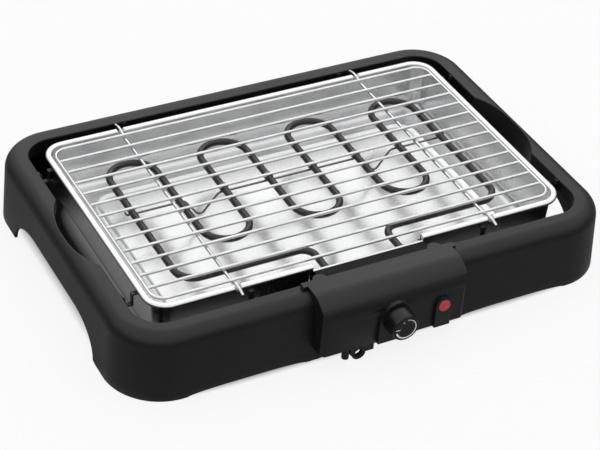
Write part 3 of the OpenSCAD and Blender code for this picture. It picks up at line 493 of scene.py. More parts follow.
# %% Material helpers
def new_finish(name, metallic=0.0, specular=0.5, coat=0.0):
    material = bpy.data.materials.new(name)
    material.use_nodes = True
    tree = material.node_tree
    tree.nodes.clear()
    shader = tree.nodes.new("ShaderNodeBsdfPrincipled")
    shader.inputs["Metallic"].default_value = metallic
    shader.inputs["Specular IOR Level"].default_value = specular
    shader.inputs["Coat Weight"].default_value = coat
    out = tree.nodes.new("ShaderNodeOutputMaterial")
    tree.links.new(shader.outputs[0], out.inputs["Surface"])
    return material, tree, shader


def place(tree, group, **values):
    node = tree.nodes.new("ShaderNodeGroup")
    node.node_tree = group
    for label, value in values.items():
        node.inputs[label.replace("_", " ")].default_value = value
    return node


def colour_between(tree, mask, dark, light, low=0.3, high=0.7):
    """A colour that goes from dark to light as the mask goes from low to high."""
    ramp = tree.nodes.new("ShaderNodeValToRGB")
    first, last = ramp.color_ramp.elements
    first.position, last.position = low, high
    first.color, last.color = (*dark, 1), (*light, 1)
    tree.links.new(mask, ramp.inputs[0])
    return ramp.outputs[0]


def value_between(tree, mask, to_low, to_high, low=0.3, high=0.7):
    return span_of(tree, mask, (low, high), (to_low, to_high))


def raise_by(tree, shader, height, strength, distance):
    bump = tree.nodes.new("ShaderNodeBump")
    bump.inputs["Strength"].default_value = strength
    bump.inputs["Distance"].default_value = distance
    tree.links.new(height, bump.inputs["Height"])
    tree.links.new(bump.outputs[0], shader.inputs["Normal"])


def lighter_on_edges(tree, colour, rub, light):
    mix = tree.nodes.new("ShaderNodeMix")
    mix.data_type = "RGBA"
    tree.links.new(rub, mix.inputs["Factor"])
    tree.links.new(colour, mix.inputs["A"])
    mix.inputs["B"].default_value = (*light, 1)
    return mix.outputs["Result"]


print("material helpers ready")

# %% [markdown]
# ### Black mouldings
#
# The frame and the control unit are phenolic and PP mouldings: almost black, with a fine spark-eroded grain that
# breaks reflections into a satin. The colour stays far below mid grey, because what the eye reads as dark grey is
# the room in its gloss. The gloss varies a little where the plastic flowed, and edges that are handled shine.


# %% Moulded plastics and rubber
def moulded_finish(name, dark, light, rough, specular, grain_scale, grain_depth):
    material, tree, shader = new_finish(name, specular=specular)
    grain = place(tree, GRAIN, Grain_scale=grain_scale)
    rub = place(tree, RUB)
    tone = colour_between(tree, grain.outputs["Tone"], dark, light)
    worn = tuple(c * 1.9 + 0.006 for c in light)
    tree.links.new(lighter_on_edges(tree, tone, rub.outputs["Rub"], worn), shader.inputs["Base Color"])
    tree.links.new(
        value_between(tree, grain.outputs["Tone"], rough - 0.035, rough + 0.045), shader.inputs["Roughness"]
    )
    raise_by(tree, shader, grain.outputs["Height"], 0.35, grain_depth)
    return material


# Dark and light tone, roughness, specular level, grain per metre and depth of the grain in metres
FRAME_BLACK = moulded_finish(
    "satin_black_moulding", (0.005, 0.005, 0.0054), (0.0075, 0.0075, 0.008), 0.40, 0.4, 900, 0.00006
)
BOX_BLACK = moulded_finish(
    "fine_black_moulding", (0.005, 0.005, 0.0054), (0.0075, 0.0075, 0.0078), 0.36, 0.4, 1300, 0.00004
)
KNOB_BLACK = moulded_finish(
    "smooth_black_moulding", (0.0045, 0.0045, 0.0048), (0.0065, 0.0065, 0.0068), 0.27, 0.4, 1800, 0.00002
)
RUBBER = moulded_finish("foot_rubber", (0.012, 0.012, 0.012), (0.02, 0.02, 0.02), 0.7, 0.3, 600, 0.0001)
print("black finishes made")

# %% [markdown]
# ### Bright metals
#
# The tray is thin stainless sheet with a soft, even gloss and only a trace of drawn lines. It is never quite flat,
# which is why its reflections bend: a slow noise gives those wide dents. The rack is chromed wire, and smoother. The
# folded sheet behind the control unit is blackened and almost without gloss. The heating tube is steel, browned
# nearly black by its first firing.


# %% Sheet, wire and plating
DENT_DEPTH = 2.2


def sheet_finish(name, dark, light, rough, lines):
    material, tree, shader = new_finish(name, metallic=1.0)
    brushing = place(tree, BRUSHING)
    clouds = place(tree, CLOUDS, Cloud_scale=16.0)
    tree.links.new(colour_between(tree, clouds.outputs["Clouds"], dark, light), shader.inputs["Base Color"])
    smudge = value_between(tree, clouds.outputs["Clouds"], rough - 0.015, rough + 0.02)
    streak = value_between(tree, brushing.outputs["Height"], -0.008, 0.01)
    tree.links.new(sum_of(tree, smudge, streak), shader.inputs["Roughness"])
    dents = product_of(tree, object_noise(tree, 11.0, 1.0), DENT_DEPTH)
    drawn = product_of(tree, brushing.outputs["Height"], lines)
    raise_by(tree, shader, sum_of(tree, drawn, dents), 0.5, 0.0002)
    return material


def wire_finish(name, colour, rough, metallic=1.0, specular=0.5):
    material, tree, shader = new_finish(name, metallic, specular)
    clouds = place(tree, CLOUDS, Cloud_scale=60.0, Spot_scale=500.0)
    light = tuple(min(1, c * 1.06) for c in colour)
    dark = tuple(c * 0.9 for c in colour)
    tree.links.new(colour_between(tree, clouds.outputs["Clouds"], dark, light), shader.inputs["Base Color"])
    smudge = value_between(tree, clouds.outputs["Spots"], rough * 0.8, rough * 1.3, 0.1, 0.5)
    tree.links.new(smudge, shader.inputs["Roughness"])
    raise_by(tree, shader, clouds.outputs["Spots"], 0.25, 0.00004)
    return material


TRAY_STEEL = sheet_finish("bright_tray_steel", (0.74, 0.745, 0.745), (0.8, 0.805, 0.8), 0.25, 0.004)
CHROME = wire_finish("chromed_wire", (0.74, 0.745, 0.75), 0.16)
PLATED = wire_finish("zinc_plated_steel", (0.56, 0.57, 0.58), 0.3)
BRASS = wire_finish("terminal_brass", (0.72, 0.55, 0.27), 0.28)
STAY_METAL = wire_finish("browned_stay_wire", (0.22, 0.205, 0.19), 0.32)
STRIP_BROWN = wire_finish("browned_strip", (0.02, 0.02, 0.0205), 0.4, 0.3)
SHIELD_BLACK = wire_finish("blackened_sheet", (0.005, 0.005, 0.0055), 0.5, 0.0, 0.12)
print("metal finishes made")


# %% Fired heating tube
def fired_tube_finish():
    material, tree, shader = new_finish("fired_tube", metallic=0.15, specular=0.75)
    clouds = place(tree, CLOUDS, Cloud_scale=30.0, Spot_scale=900.0)
    tone = colour_between(tree, clouds.outputs["Clouds"], (0.007, 0.0065, 0.006), (0.02, 0.0185, 0.0165))
    tree.links.new(tone, shader.inputs["Base Color"])
    tree.links.new(value_between(tree, clouds.outputs["Clouds"], 0.22, 0.36), shader.inputs["Roughness"])
    raise_by(tree, shader, clouds.outputs["Spots"], 0.3, 0.00005)
    return material


FIRED_TUBE = fired_tube_finish()
print("tube finish made")


# %% Insulation, ceramic, marks and the lamp's lens
def plain_finish(name, colour, rough, specular=0.5):
    material, tree, shader = new_finish(name, specular=specular)
    clouds = place(tree, CLOUDS, Cloud_scale=90.0, Spot_scale=700.0)
    dark = tuple(c * 0.88 for c in colour)
    tree.links.new(colour_between(tree, clouds.outputs["Clouds"], dark, colour), shader.inputs["Base Color"])
    smudge = value_between(tree, clouds.outputs["Clouds"], rough - 0.05, rough + 0.05)
    tree.links.new(smudge, shader.inputs["Roughness"])
    raise_by(tree, shader, clouds.outputs["Spots"], 0.2, 0.00003)
    return material


def lens_finish():
    material, tree, shader = new_finish("red_lens", specular=0.6, coat=0.4)
    shader.inputs["Coat Roughness"].default_value = 0.08
    clouds = place(tree, CLOUDS, Cloud_scale=200.0, Spot_scale=900.0)
    tone = colour_between(tree, clouds.outputs["Clouds"], (0.42, 0.022, 0.035), (0.55, 0.04, 0.055))
    tree.links.new(tone, shader.inputs["Base Color"])
    tree.links.new(value_between(tree, clouds.outputs["Clouds"], 0.2, 0.3), shader.inputs["Roughness"])
    raise_by(tree, shader, clouds.outputs["Spots"], 0.15, 0.00003)
    return material


CERAMIC = plain_finish("steatite_ceramic", (0.8, 0.78, 0.72), 0.45)
MARK_WHITE = plain_finish("printed_white", (0.86, 0.86, 0.86), 0.5)
BROWN_LEAD = plain_finish("brown_insulation", (0.19, 0.08, 0.035), 0.4)
BLUE_LEAD = plain_finish("blue_insulation", (0.05, 0.14, 0.38), 0.4)
PALE_LEAD = plain_finish("braided_glass_sleeve", (0.62, 0.6, 0.55), 0.7)
GREY_LEAD = plain_finish("grey_insulation", (0.28, 0.29, 0.3), 0.45)
BODY_CREAM = plain_finish("thermostat_cream", (0.68, 0.64, 0.53), 0.5)
LENS_RED = lens_finish()
print("finishes:", len(bpy.data.materials))

# %% [markdown]
# ## From points to a piece
#
# A finished piece is one mesh whose object sits at the origin, because the joints expect it there. One helper turns
# millimetre points and faces into such a mesh, merges what is double, drops stray edges and turns the faces outwards.
# Another smooths all but the real creases, says which body carries the piece, and hides the plain CAD solid it
# stands for.

# %% Piece helper
def finish_piece(name, mesh, material, body, nodes=(), crease=32):
    if material is not None:
        mesh.materials.clear()
        mesh.materials.append(material)
    mesh.shade_smooth()
    mesh.set_sharp_from_angle(angle=math.radians(crease))
    piece = bpy.data.objects.new(name, mesh)
    bpy.context.scene.collection.objects.link(piece)
    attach(piece, body)
    if nodes:
        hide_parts(*nodes)
    print(f"{name}: {len(mesh.vertices)} points, {len(mesh.polygons)} faces, on {body}")
    return piece


def mesh_of(name, points, faces, merge=0.001):
    """A closed mesh from points in millimetres."""
    mesh = bpy.data.meshes.new(name)
    mesh.from_pydata([row(*p) for p in points], [], faces)
    work = bmesh.new()
    work.from_mesh(mesh)
    bmesh.ops.remove_doubles(work, verts=work.verts, dist=merge * 0.001)
    loose = [edge for edge in work.edges if not edge.link_faces]
    bmesh.ops.delete(work, geom=loose, context="EDGES")
    bmesh.ops.recalc_face_normals(work, faces=work.faces)
    work.to_mesh(mesh)
    work.free()
    return mesh


def carry_section(path, section, closed_path, closed_section):
    """Points and faces of a section carried along a path. section(station) gives one station's points."""
    faces = []
    rings = [section(s) for s in path]
    n = len(rings[0])
    points = [point for ring in rings for point in ring]
    last = len(rings) if closed_path else len(rings) - 1
    width = n if closed_section else n - 1
    for i in range(last):
        a, b = i * n, ((i + 1) % len(rings)) * n
        for k in range(width):
            k2 = (k + 1) % n
            faces.append((a + k, b + k, b + k2, a + k2))
    if closed_section and not closed_path:
        faces += [tuple(range(n)), tuple((len(rings) - 1) * n + k for k in range(n))]
    return points, faces


print("piece helpers ready")

# %% [markdown]
# ## The frame
#
# The frame is a single moulding: an upside-down U that runs round the opening. Its inner edge folds into a lip, its
# top rolls over a wide shoulder into an outer wall that leans out 3.5 degrees so the moulding leaves its tool. On
# the short sides the wall is cut by a low arch for carrying, and the inner edge swings out into a scoop that lets
# fingers reach the tray. A Boolean could cut all of these, but it would leave hard seams in a soft moulding. So
# the arch and the scoop are numbers that change along the sweep: the height of the wall's lower edge, and the place
# of the inner edge. The surface then flows round them as plastic does.


# %% Arches and scoops as functions
# Height, half length of the straight top, and length of each rounded end
SIDE_ARCH, LONG_ARCH, LONG_ARCH_X = (27.0, 45.0, 46.0), (2.4, 13.5, 40.5), 129.0
SCOOP_HALF, SCOOP_D, SCOOP_POWER = 50.0, 13.0, 2.5


def arch_height(away, height, flat, end):
    if away >= flat + end:
        return 0.0
    return height * (1.0 if away <= flat else math.sqrt(max(0, 1 - ((away - flat) / end) ** 2)))


def side_arch(y):
    return arch_height(abs(y), *SIDE_ARCH)


def long_arch(x):
    return arch_height(abs(abs(x) - LONG_ARCH_X), *LONG_ARCH)


def scoop(y):
    return SCOOP_D * max(0, 1 - abs(y / SCOOP_HALF) ** SCOOP_POWER)


def arch_and_scoop(station):
    x, y = on_ring(station, OPENING_L, OPENING_W, OPENING_R)
    if station[0] == "corner":
        return 0.0, 0.0
    return (side_arch(y), scoop(y)) if station[1] % 2 == 0 else (long_arch(x), 0.0)


print("scoop at 0, 30, 40, 50:", [round(scoop(y), 2) for y in (0, 30, 40, 50)])


# %% Section of the frame
# The rim is flat out to RIM_FLAT, and its shoulder ends at SHOULDER_LOW
RIM_FLAT, SHOULDER_LOW = RIM_W - SHOULDER_R, FRAME_H - SHOULDER_R
EDGE_R, FOOT_R, INNER_SOFT, LIP_SOFT, SCOOP_DROP = 1.2, 0.9, 0.5, 0.4, 14.0


def rim_height(d):
    if d <= RIM_FLAT:
        return FRAME_H
    return SHOULDER_LOW + math.sqrt(max(0, SHOULDER_R**2 - (d - RIM_FLAT) ** 2))


def rounded_edge(scoop_d):
    """The small round between the opening's wall and the rim: a curve through three control points."""
    past = rim_height(scoop_d + EDGE_R)
    a, b, c = (scoop_d, past - EDGE_R), (scoop_d, rim_height(scoop_d)), (scoop_d + EDGE_R, past)
    made = []
    for k in range(6):
        t = k / 5
        made.append(tuple((1 - t) ** 2 * p + 2 * t * (1 - t) * q + t * t * r for p, q, r in zip(a, b, c)))
    return made


def shoulder_points(start):
    """Along the flat of the rim and down its shoulder, evenly spaced, to where the outer wall begins."""
    run = max(0, RIM_FLAT - start)
    angle = math.pi / 2 if start <= RIM_FLAT else math.acos((start - RIM_FLAT) / SHOULDER_R)
    total = run + SHOULDER_R * angle
    made = []
    for k in range(1, 19):
        at = total * k / 18
        if at < run:
            made.append((start + at, FRAME_H))
        else:
            a = angle - (at - run) / SHOULDER_R
            made.append((RIM_FLAT + SHOULDER_R * math.cos(a), SHOULDER_LOW + SHOULDER_R * math.sin(a)))
    return made


def leaning_wall(inset, bottom, steps):
    """Points down the outer wall, which leans out, or down a line set in from it."""
    heights = [SHOULDER_LOW + (bottom - SHOULDER_LOW) * k / steps for k in range(1, steps + 1)]
    return [(RIM_W - inset + (SHOULDER_LOW - z) * LEAN, z) for z in heights]


def frame_profile(arch_z, scoop_d):
    """Points of the section: distance out from the opening, and height."""
    lip = FRAME_H - LIP_H - SCOOP_DROP * scoop_d / SCOOP_D
    edge = rounded_edge(scoop_d)
    out = RIM_W + (SHOULDER_LOW - arch_z) * LEAN
    heel = out - WALL
    foot = [(out - 0.25, arch_z + 0.25), (out - FOOT_R, arch_z)]
    foot += [(heel + INNER_SOFT, arch_z), (heel, arch_z + INNER_SOFT)]
    inner = leaning_wall(WALL, arch_z + INNER_SOFT, 6)[::-1]
    inner = inner[1:] + [(RIM_W - WALL, SHOULDER_LOW)]
    start = scoop_d + WALL
    inner_r = SHOULDER_R - WALL
    angle = math.pi / 2 if start <= RIM_FLAT else math.acos(min(1, (start - RIM_FLAT) / inner_r))
    under = []
    for k in range(1, 9):
        a = angle * k / 8
        under.append((RIM_FLAT + inner_r * math.cos(a), SHOULDER_LOW + inner_r * math.sin(a)))
    soft = lip + LIP_SOFT
    lips = [(start, under[-1][1]), (start, soft), (start - LIP_SOFT, lip), (scoop_d + LIP_SOFT, lip), (scoop_d, soft)]
    side = [(scoop_d, soft + (edge[0][1] - soft) * k / 4) for k in range(1, 4)]
    wall = leaning_wall(0, arch_z + FOOT_R, 8)
    return edge + shoulder_points(scoop_d + EDGE_R) + wall + foot + inner + under + lips + side


def frame_ring(station):
    made = []
    for d, z in frame_profile(*arch_and_scoop(station)):
        made.append((*on_ring(station, OPENING_L + 2 * d, OPENING_W + 2 * d, OPENING_R + d), z))
    return made


half_long, half_short = OPENING_L / 2 - OPENING_R, OPENING_W / 2 - OPENING_R
long_ends = []
for side in (-1, 1):
    for a in range(0, 91, 10):
        long_ends.append(LONG_ARCH_X + side * (LONG_ARCH[1] + LONG_ARCH[2] * math.sin(math.radians(a))))
long_marks = mirrored([NOTCH_HALF] + [m for m in even(NOTCH_HALF, half_long, 7) + long_ends if m <= half_long])
side_ends = [SIDE_ARCH[1] + SIDE_ARCH[2] * math.sin(math.radians(a)) for a in range(4, 91, 4)]
arch_end = SIDE_ARCH[1] + SIDE_ARCH[2]
short_marks = mirrored(even(0, 26, 4) + even(26, SCOOP_HALF, 1.5) + side_ends + even(arch_end, half_short, 5))
ring_path = stations(long_marks, short_marks, half_long, half_short)
print("stations round the frame:", len(ring_path))

# %% [markdown]
# In front the rim is cut away where the control unit sits down over the wall. The main sweep stops at both ends of
# that notch. A short stub of wall closes the gap below the unit, and two cheeks close the hollow rim.


# %% Frame moulding
def add_part(points, faces, more_points, more_faces):
    start = len(points)
    points += more_points
    faces += [tuple(start + k for k in face) for face in more_faces]


def prism_x(outline, x0, x1):
    """A closed prism from an outline in Y and Z."""
    n = len(outline)
    points = [(x0, y, z) for y, z in outline] + [(x1, y, z) for y, z in outline]
    faces = [tuple(range(n)), tuple(range(n, 2 * n))]
    faces += [(k, (k + 1) % n, n + (k + 1) % n, n + k) for k in range(n)]
    return points, faces


def lathe_z(profile, x, y, steps=40):
    """A closed turned shape from (radius, height) points."""
    points, faces, n = [], [], len(profile)
    for k in range(steps):
        a = 2 * math.pi * k / steps
        points += [(x + r * math.cos(a), y + r * math.sin(a), z) for r, z in profile]
    for k in range(steps):
        a, b = k * n, (k + 1) % steps * n
        for i in range(n):
            j = (i + 1) % n
            faces.append((a + i, b + i, b + j, a + j))
    return points, faces


def stub_below_notch(wall_out):
    """Section of the low wall that closes the front under the control unit."""
    soft = INNER_SOFT
    outer = [(-(OPENING_W / 2 + wall_out - z * LEAN), z) for z in (FOOT_R, 6, NOTCH_Z - 0.6)]
    crest = -(OPENING_W / 2 + wall_out - NOTCH_Z * LEAN)
    inner = [(-(OPENING_W / 2 + wall_out - WALL - z * LEAN), z) for z in (NOTCH_Z - soft, soft)]
    top = [(crest + soft, NOTCH_Z), (crest + WALL - soft, NOTCH_Z)]
    return [(outer[0][0] + FOOT_R, 0)] + outer + top + inner + [(inner[-1][0] - LIP_SOFT, 0)]


def cheek_beside_notch(wall_out):
    """Outline of the sheet that closes the hollow rim at the notch."""
    cheek = [(WALL / 2, NOTCH_Z), (WALL / 2, FRAME_H - WALL / 2)]
    cheek += arc(RIM_FLAT, SHOULDER_LOW, SHOULDER_R - WALL / 2, 90, 0, 16)
    cheek += [(wall_out - WALL / 2 - NOTCH_Z * LEAN, NOTCH_Z)]
    return [(-(OPENING_W / 2 + d), z) for d, z in cheek]


# Radius of the foot's boss and of the pad's recess in it, height of the boss, depth of the recess
BOSS_R, RECESS_R, BOSS_H, RECESS_H = 10.3, 7.55, 4.8, 2.0


def make_frame():
    points, faces = carry_section(ring_path, frame_ring, False, True)
    wall_out = RIM_W + SHOULDER_LOW * LEAN
    add_part(points, faces, *prism_x(stub_below_notch(wall_out), -NOTCH_HALF, NOTCH_HALF))
    cheek = cheek_beside_notch(wall_out)
    for x0, x1 in ((-NOTCH_HALF - WALL, -NOTCH_HALF - 0.15), (NOTCH_HALF + 0.15, NOTCH_HALF + WALL)):
        add_part(points, faces, *prism_x(cheek, x0, x1))
    boss = [(RECESS_R, 0), (BOSS_R, 0), (BOSS_R, BOSS_H), (0, BOSS_H), (0, RECESS_H), (RECESS_R, RECESS_H)]
    reach = (OPENING_R + wall_out - 1 - BOSS_R) * math.cos(math.pi / 4)
    for sx in (-1, 1):
        for sy in (-1, 1):
            add_part(points, faces, *lathe_z(boss, sx * (half_long + reach), sy * (half_short + reach)))
    mesh = mesh_of("frame_moulding", points, faces)
    return finish_piece("frame_moulding", mesh, FRAME_BLACK, "frame", ["frame_shell"])


make_frame()

# %% [markdown]
# ## The drip tray
#
# The tray is drawn from 0.8 mm sheet. Going inwards, its edge is a rolled bead, then a narrow flat rim, a tight bend,
# a wall that leans in 3 degrees, a wide fillet, and a floor whose ribbed, raised field stiffens it. One strip of
# points describes the sheet from the middle of its lower face, round the bead, to the middle of its upper face, so
# the sheet has its real thickness everywhere. At four places the rim has a shallow saddle where
# the rack's cross wires rest. The cut-out in front, through which the heater passes, is punched in the real tray, so
# here it is a Boolean with a box: its raw edge is meant to be sharp.


# %% Section of the tray
# Length, width, corner radius and rise of the raised field, and the width and height of the rib round it
PLATEAU, PLATEAU_SLOPE, RIB = (320.0, 171.0, 14.0, 3.0), 12.0, 1.2
TRAY_RUN = (TRAY_TOP - TRAY_FLOOR - FILLET) * TRAY_LEAN
# Where the wall meets the bend under the rim, and the height at which the fillet meets the wall
BEND_X, BEND_Z, FILLET_TOP = -4.4, 66.4, TRAY_FLOOR + FILLET
BEAD_X, BEAD_Z, BEAD_R = -2.0, 66.0, 2.0
SADDLE_DIP, SADDLE_FLAT, SADDLE_EASE = 2.6, 1.7, 1.7


def ease(t):
    t = min(1, max(0, t))
    return t * t * (3 - 2 * t)


def tray_profile():
    """(kind, offset from the tray's edge, height) of the sheet: lower floor, bead, upper floor."""
    foot = -TRAY_RIM - TRAY_RUN
    rise = BEND_Z - FILLET_TOP
    under = [("fillet", *p) for p in arc(foot - FILLET, FILLET_TOP, FILLET + SHEET, -90, 0, 8)]
    outer = [("wall", foot + SHEET + (TRAY_RUN - 0.1) * k / 6, FILLET_TOP + rise * k / 6) for k in range(1, 6)]
    bend_in = [("rim", *p) for p in arc(BEND_X, BEND_Z, SHEET, 180, 90, 3)]
    bead = [("rim", *on_circle(BEAD_X, BEAD_Z, BEAD_R, a)) for a in range(-217, 91, 18)]
    bend = [("rim", *on_circle(BEND_X, BEND_Z, 2 * SHEET, a)) for a in (90, 112, 135, 158, 180)]
    inner = [("wall", -TRAY_RIM - TRAY_RUN * k / 6, BEND_Z - rise * k / 6) for k in range(1, 6)]
    top = [("fillet", *p) for p in arc(foot - FILLET, FILLET_TOP, FILLET, 0, -90, 8)]
    return under + outer + bend_in + bead + bend + inner + top


TRAY_PROFILE = tray_profile()
print("points from floor to floor:", len(TRAY_PROFILE))


# %% One station of the tray
def saddle_dip(station):
    if station[0] != "side" or station[1] % 2 == 0:
        return 0.0
    away = abs(abs(station[2]) * (TRAY_L / 2 - TRAY_R) - CROSS_X)
    return SADDLE_DIP * (1 - ease((away - SADDLE_FLAT) / SADDLE_EASE))


def plateau_rows():
    length, width, r, rise = PLATEAU
    rows = []
    for k in range(17):
        t = k / 16
        grow = PLATEAU_SLOPE * (1 - t)
        z = TRAY_FLOOR + rise * ease(1.6 * t) + RIB * math.sin(math.pi * t) ** 2
        rows.append((length + 2 * grow, width + 2 * grow, r + grow, z))
    return rows


PLATEAU_ROWS = plateau_rows()


def tray_ring(station):
    dip = saddle_dip(station)
    made = []
    for kind, d, z in TRAY_PROFILE:
        if kind == "rim":
            z -= dip
        elif kind == "wall":
            share = (z - FILLET_TOP) / (BEND_Z - FILLET_TOP)
            z = FILLET_TOP + share * (BEND_Z - dip * 0.8 - FILLET_TOP)
        made.append((*on_ring(station, TRAY_L + 2 * d, TRAY_W + 2 * d, TRAY_R + d), z))
    upper = [(*on_ring(station, l, w, r), z) for l, w, r, z in PLATEAU_ROWS]
    lower = [(*on_ring(station, l - 1, w - 1, r), z - SHEET) for l, w, r, z in reversed(PLATEAU_ROWS)]
    return lower + made + upper


print("points across the sheet:", len(TRAY_PROFILE) + 2 * len(PLATEAU_ROWS))


# %% Cutting a box out of a closed mesh
def without_box(mesh, low, high):
    """Blender's exact Boolean on a throw-away object. The cut edge stays sharp, as on punched sheet."""
    whole = bpy.data.objects.new("whole", mesh)
    tool_mesh = mesh_of("punch", *box_at(low, high))
    tool = bpy.data.objects.new("punch", tool_mesh)
    for piece in (whole, tool):
        bpy.context.scene.collection.objects.link(piece)
    cut = whole.modifiers.new("cut", "BOOLEAN")
    cut.operation, cut.solver, cut.object = "DIFFERENCE", "EXACT", tool
    graph = bpy.context.evaluated_depsgraph_get()
    made = bpy.data.meshes.new_from_object(whole.evaluated_get(graph), depsgraph=graph)
    bpy.data.objects.remove(whole)
    bpy.data.objects.remove(tool)
    bpy.data.meshes.remove(mesh)
    bpy.data.meshes.remove(tool_mesh)
    return made


def box_at(low, high):
    (x0, y0, z0), (x1, y1, z1) = low, high
    return prism_x([(y0, z0), (y1, z0), (y1, z1), (y0, z1)], x0, x1)


# %% Drip tray
def make_tray():
    half_l, half_w = TRAY_L / 2 - TRAY_R, TRAY_W / 2 - TRAY_R
    marks = even(0, half_l, 8) + even(CROSS_X - 7, CROSS_X + 7, 0.7)
    path = stations(mirrored(marks), mirrored(even(0, half_w, 8)), half_l, half_w, 20)
    path = [s for s in path if not (s[0] == "side" and s[1] == 3 and s[2] == 0)]
    points, faces = carry_section(path, tray_ring, True, False)
    n = len(points) // len(path)
    faces.append(tuple(i * n for i in range(len(path))))
    faces.append(tuple(i * n + n - 1 for i in range(len(path))))
    mesh = without_box(mesh_of("tray_whole", points, faces), (-CUT_HALF, -140, CUT_Z), (CUT_HALF, -110, 80))
    mesh.name = "tray_pressing"
    return finish_piece("tray_pressing", mesh, TRAY_STEEL, "tray", ["drip_tray"], 40)


make_tray()

# %% [markdown]
# ## Round wire along a path
#
# The rack, the heating tube and its stay are the same idea: something round that follows a line. A
# Geometry Nodes tree does this once. It takes a curve, a diameter and a number of sides, sweeps a circle along the
# curve, closes the ends and sets the material. The line itself is a list of corners with the bending radius of the
# real wire worked into it, because a wire bent on a mandrel has arcs, not the swelling turns of a free Bezier.


# %% Tree that sweeps round wire
def node_tree(name, inputs):
    tree = bpy.data.node_groups.new(name, "GeometryNodeTree")
    tree.interface.new_socket("Geometry", in_out="OUTPUT", socket_type="NodeSocketGeometry")
    tree.interface.new_socket("Geometry", in_out="INPUT", socket_type="NodeSocketGeometry")
    for label, kind, value in inputs:
        socket = tree.interface.new_socket(label, in_out="INPUT", socket_type=kind)
        if value is not None:
            socket.default_value = value
    return tree, tree.nodes.new("NodeGroupInput"), tree.nodes.new("NodeGroupOutput")


def half_of(tree, socket):
    return product_of(tree, socket, 0.5)


def finish_tree(tree, given, out, geometry):
    real = tree.nodes.new("GeometryNodeRealizeInstances")
    paint = tree.nodes.new("GeometryNodeSetMaterial")
    tree.links.new(geometry, real.inputs[0])
    tree.links.new(real.outputs[0], paint.inputs["Geometry"])
    tree.links.new(given.outputs["Material"], paint.inputs["Material"])
    tree.links.new(paint.outputs[0], out.inputs["Geometry"])


def wire_tree():
    tree, given, out = node_tree(
        "round_wire",
        [
            ("Diameter", "NodeSocketFloat", 0.003),
            ("Sides", "NodeSocketInt", 16),
            ("Material", "NodeSocketMaterial", None),
        ],
    )
    ring = tree.nodes.new("GeometryNodeCurvePrimitiveCircle")
    sweep = tree.nodes.new("GeometryNodeCurveToMesh")
    sweep.inputs["Fill Caps"].default_value = True
    tree.links.new(half_of(tree, given.outputs["Diameter"]), ring.inputs["Radius"])
    tree.links.new(given.outputs["Sides"], ring.inputs["Resolution"])
    tree.links.new(given.outputs["Geometry"], sweep.inputs["Curve"])
    tree.links.new(ring.outputs["Curve"], sweep.inputs["Profile Curve"])
    finish_tree(tree, given, out, sweep.outputs["Mesh"])
    return tree


WIRE_TREE = wire_tree()
print("tree:", WIRE_TREE.name)


# %% Running a tree and keeping its result
def run_tree(name, source, tree, values):
    """Evaluates a Geometry Nodes tree on a source object once, and gives back a plain mesh."""
    bpy.context.scene.collection.objects.link(source)
    modifier = source.modifiers.new(tree.name, "NODES")
    modifier.node_group = tree
    sockets = {s.name: s.identifier for s in tree.interface.items_tree if s.in_out == "INPUT"}
    for label, value in values.items():
        modifier[sockets[label]] = value
    graph = bpy.context.evaluated_depsgraph_get()
    mesh = bpy.data.meshes.new_from_object(
        source.evaluated_get(graph), preserve_all_data_layers=False, depsgraph=graph
    )
    mesh.name = name
    source.modifiers.remove(modifier)
    bpy.data.objects.remove(source)
    return mesh


def curve_of(name, paths):
    """A curve object of straight-sided splines. Each path is (points in metres, closed)."""
    curve = bpy.data.curves.new(name, "CURVE")
    curve.dimensions = "3D"
    curve.twist_mode = "MINIMUM"
    for points, closed in paths:
        line = curve.splines.new("POLY")
        line.points.add(len(points) - 1)
        for target, point in zip(line.points, points):
            target.co = (*point, 1)
        line.use_cyclic_u = closed
    return bpy.data.objects.new(name, curve)


def bent_path(corners, radius, steps=8, closed=False):
    """Rounds the corners of a line, in millimetres, as a bending tool does, and gives metres."""
    corners = [Vector(c) for c in corners]
    n = len(corners)
    made = []
    for i, here in enumerate(corners):
        if not closed and i in (0, n - 1):
            made.append(here)
            continue
        before, after = (corners[i - 1] - here), (corners[(i + 1) % n] - here)
        reach = min(before.length, after.length) * 0.49
        before.normalize()
        after.normalize()
        half = before.angle(after) / 2
        if half > math.radians(89.5):
            made.append(here)
            continue
        r = min(radius, reach * math.tan(half))
        centre = here + (before + after).normalized() * (r / math.sin(half))
        back = r / math.tan(half)
        a, b = here + before * back - centre, here + after * back - centre
        for k in range(steps + 1):
            made.append(centre + a.slerp(b, k / steps).normalized() * r)
    return [row(*p) for p in made]


def wire_piece(name, paths, diameter, material, body, nodes, sides=16):
    values = {"Diameter": diameter * 0.001, "Sides": sides, "Material": material}
    mesh = run_tree(name, curve_of(name, paths), WIRE_TREE, values)
    return finish_piece(name, mesh, None, body, nodes, 50)


print("wire helpers ready")

# %% [markdown]
# ## The rack
#
# The rack is a closed ring of 3 mm wire, twelve bars butt-welded inside it, and two cross wires below that hold them
# together. The bars repeat at one pitch, so a second tree makes them: a line of points, one bar on each. The cross
# wires run on past the ring, rise over the tray's rim and droop behind it, and they are bent with the wire tree.


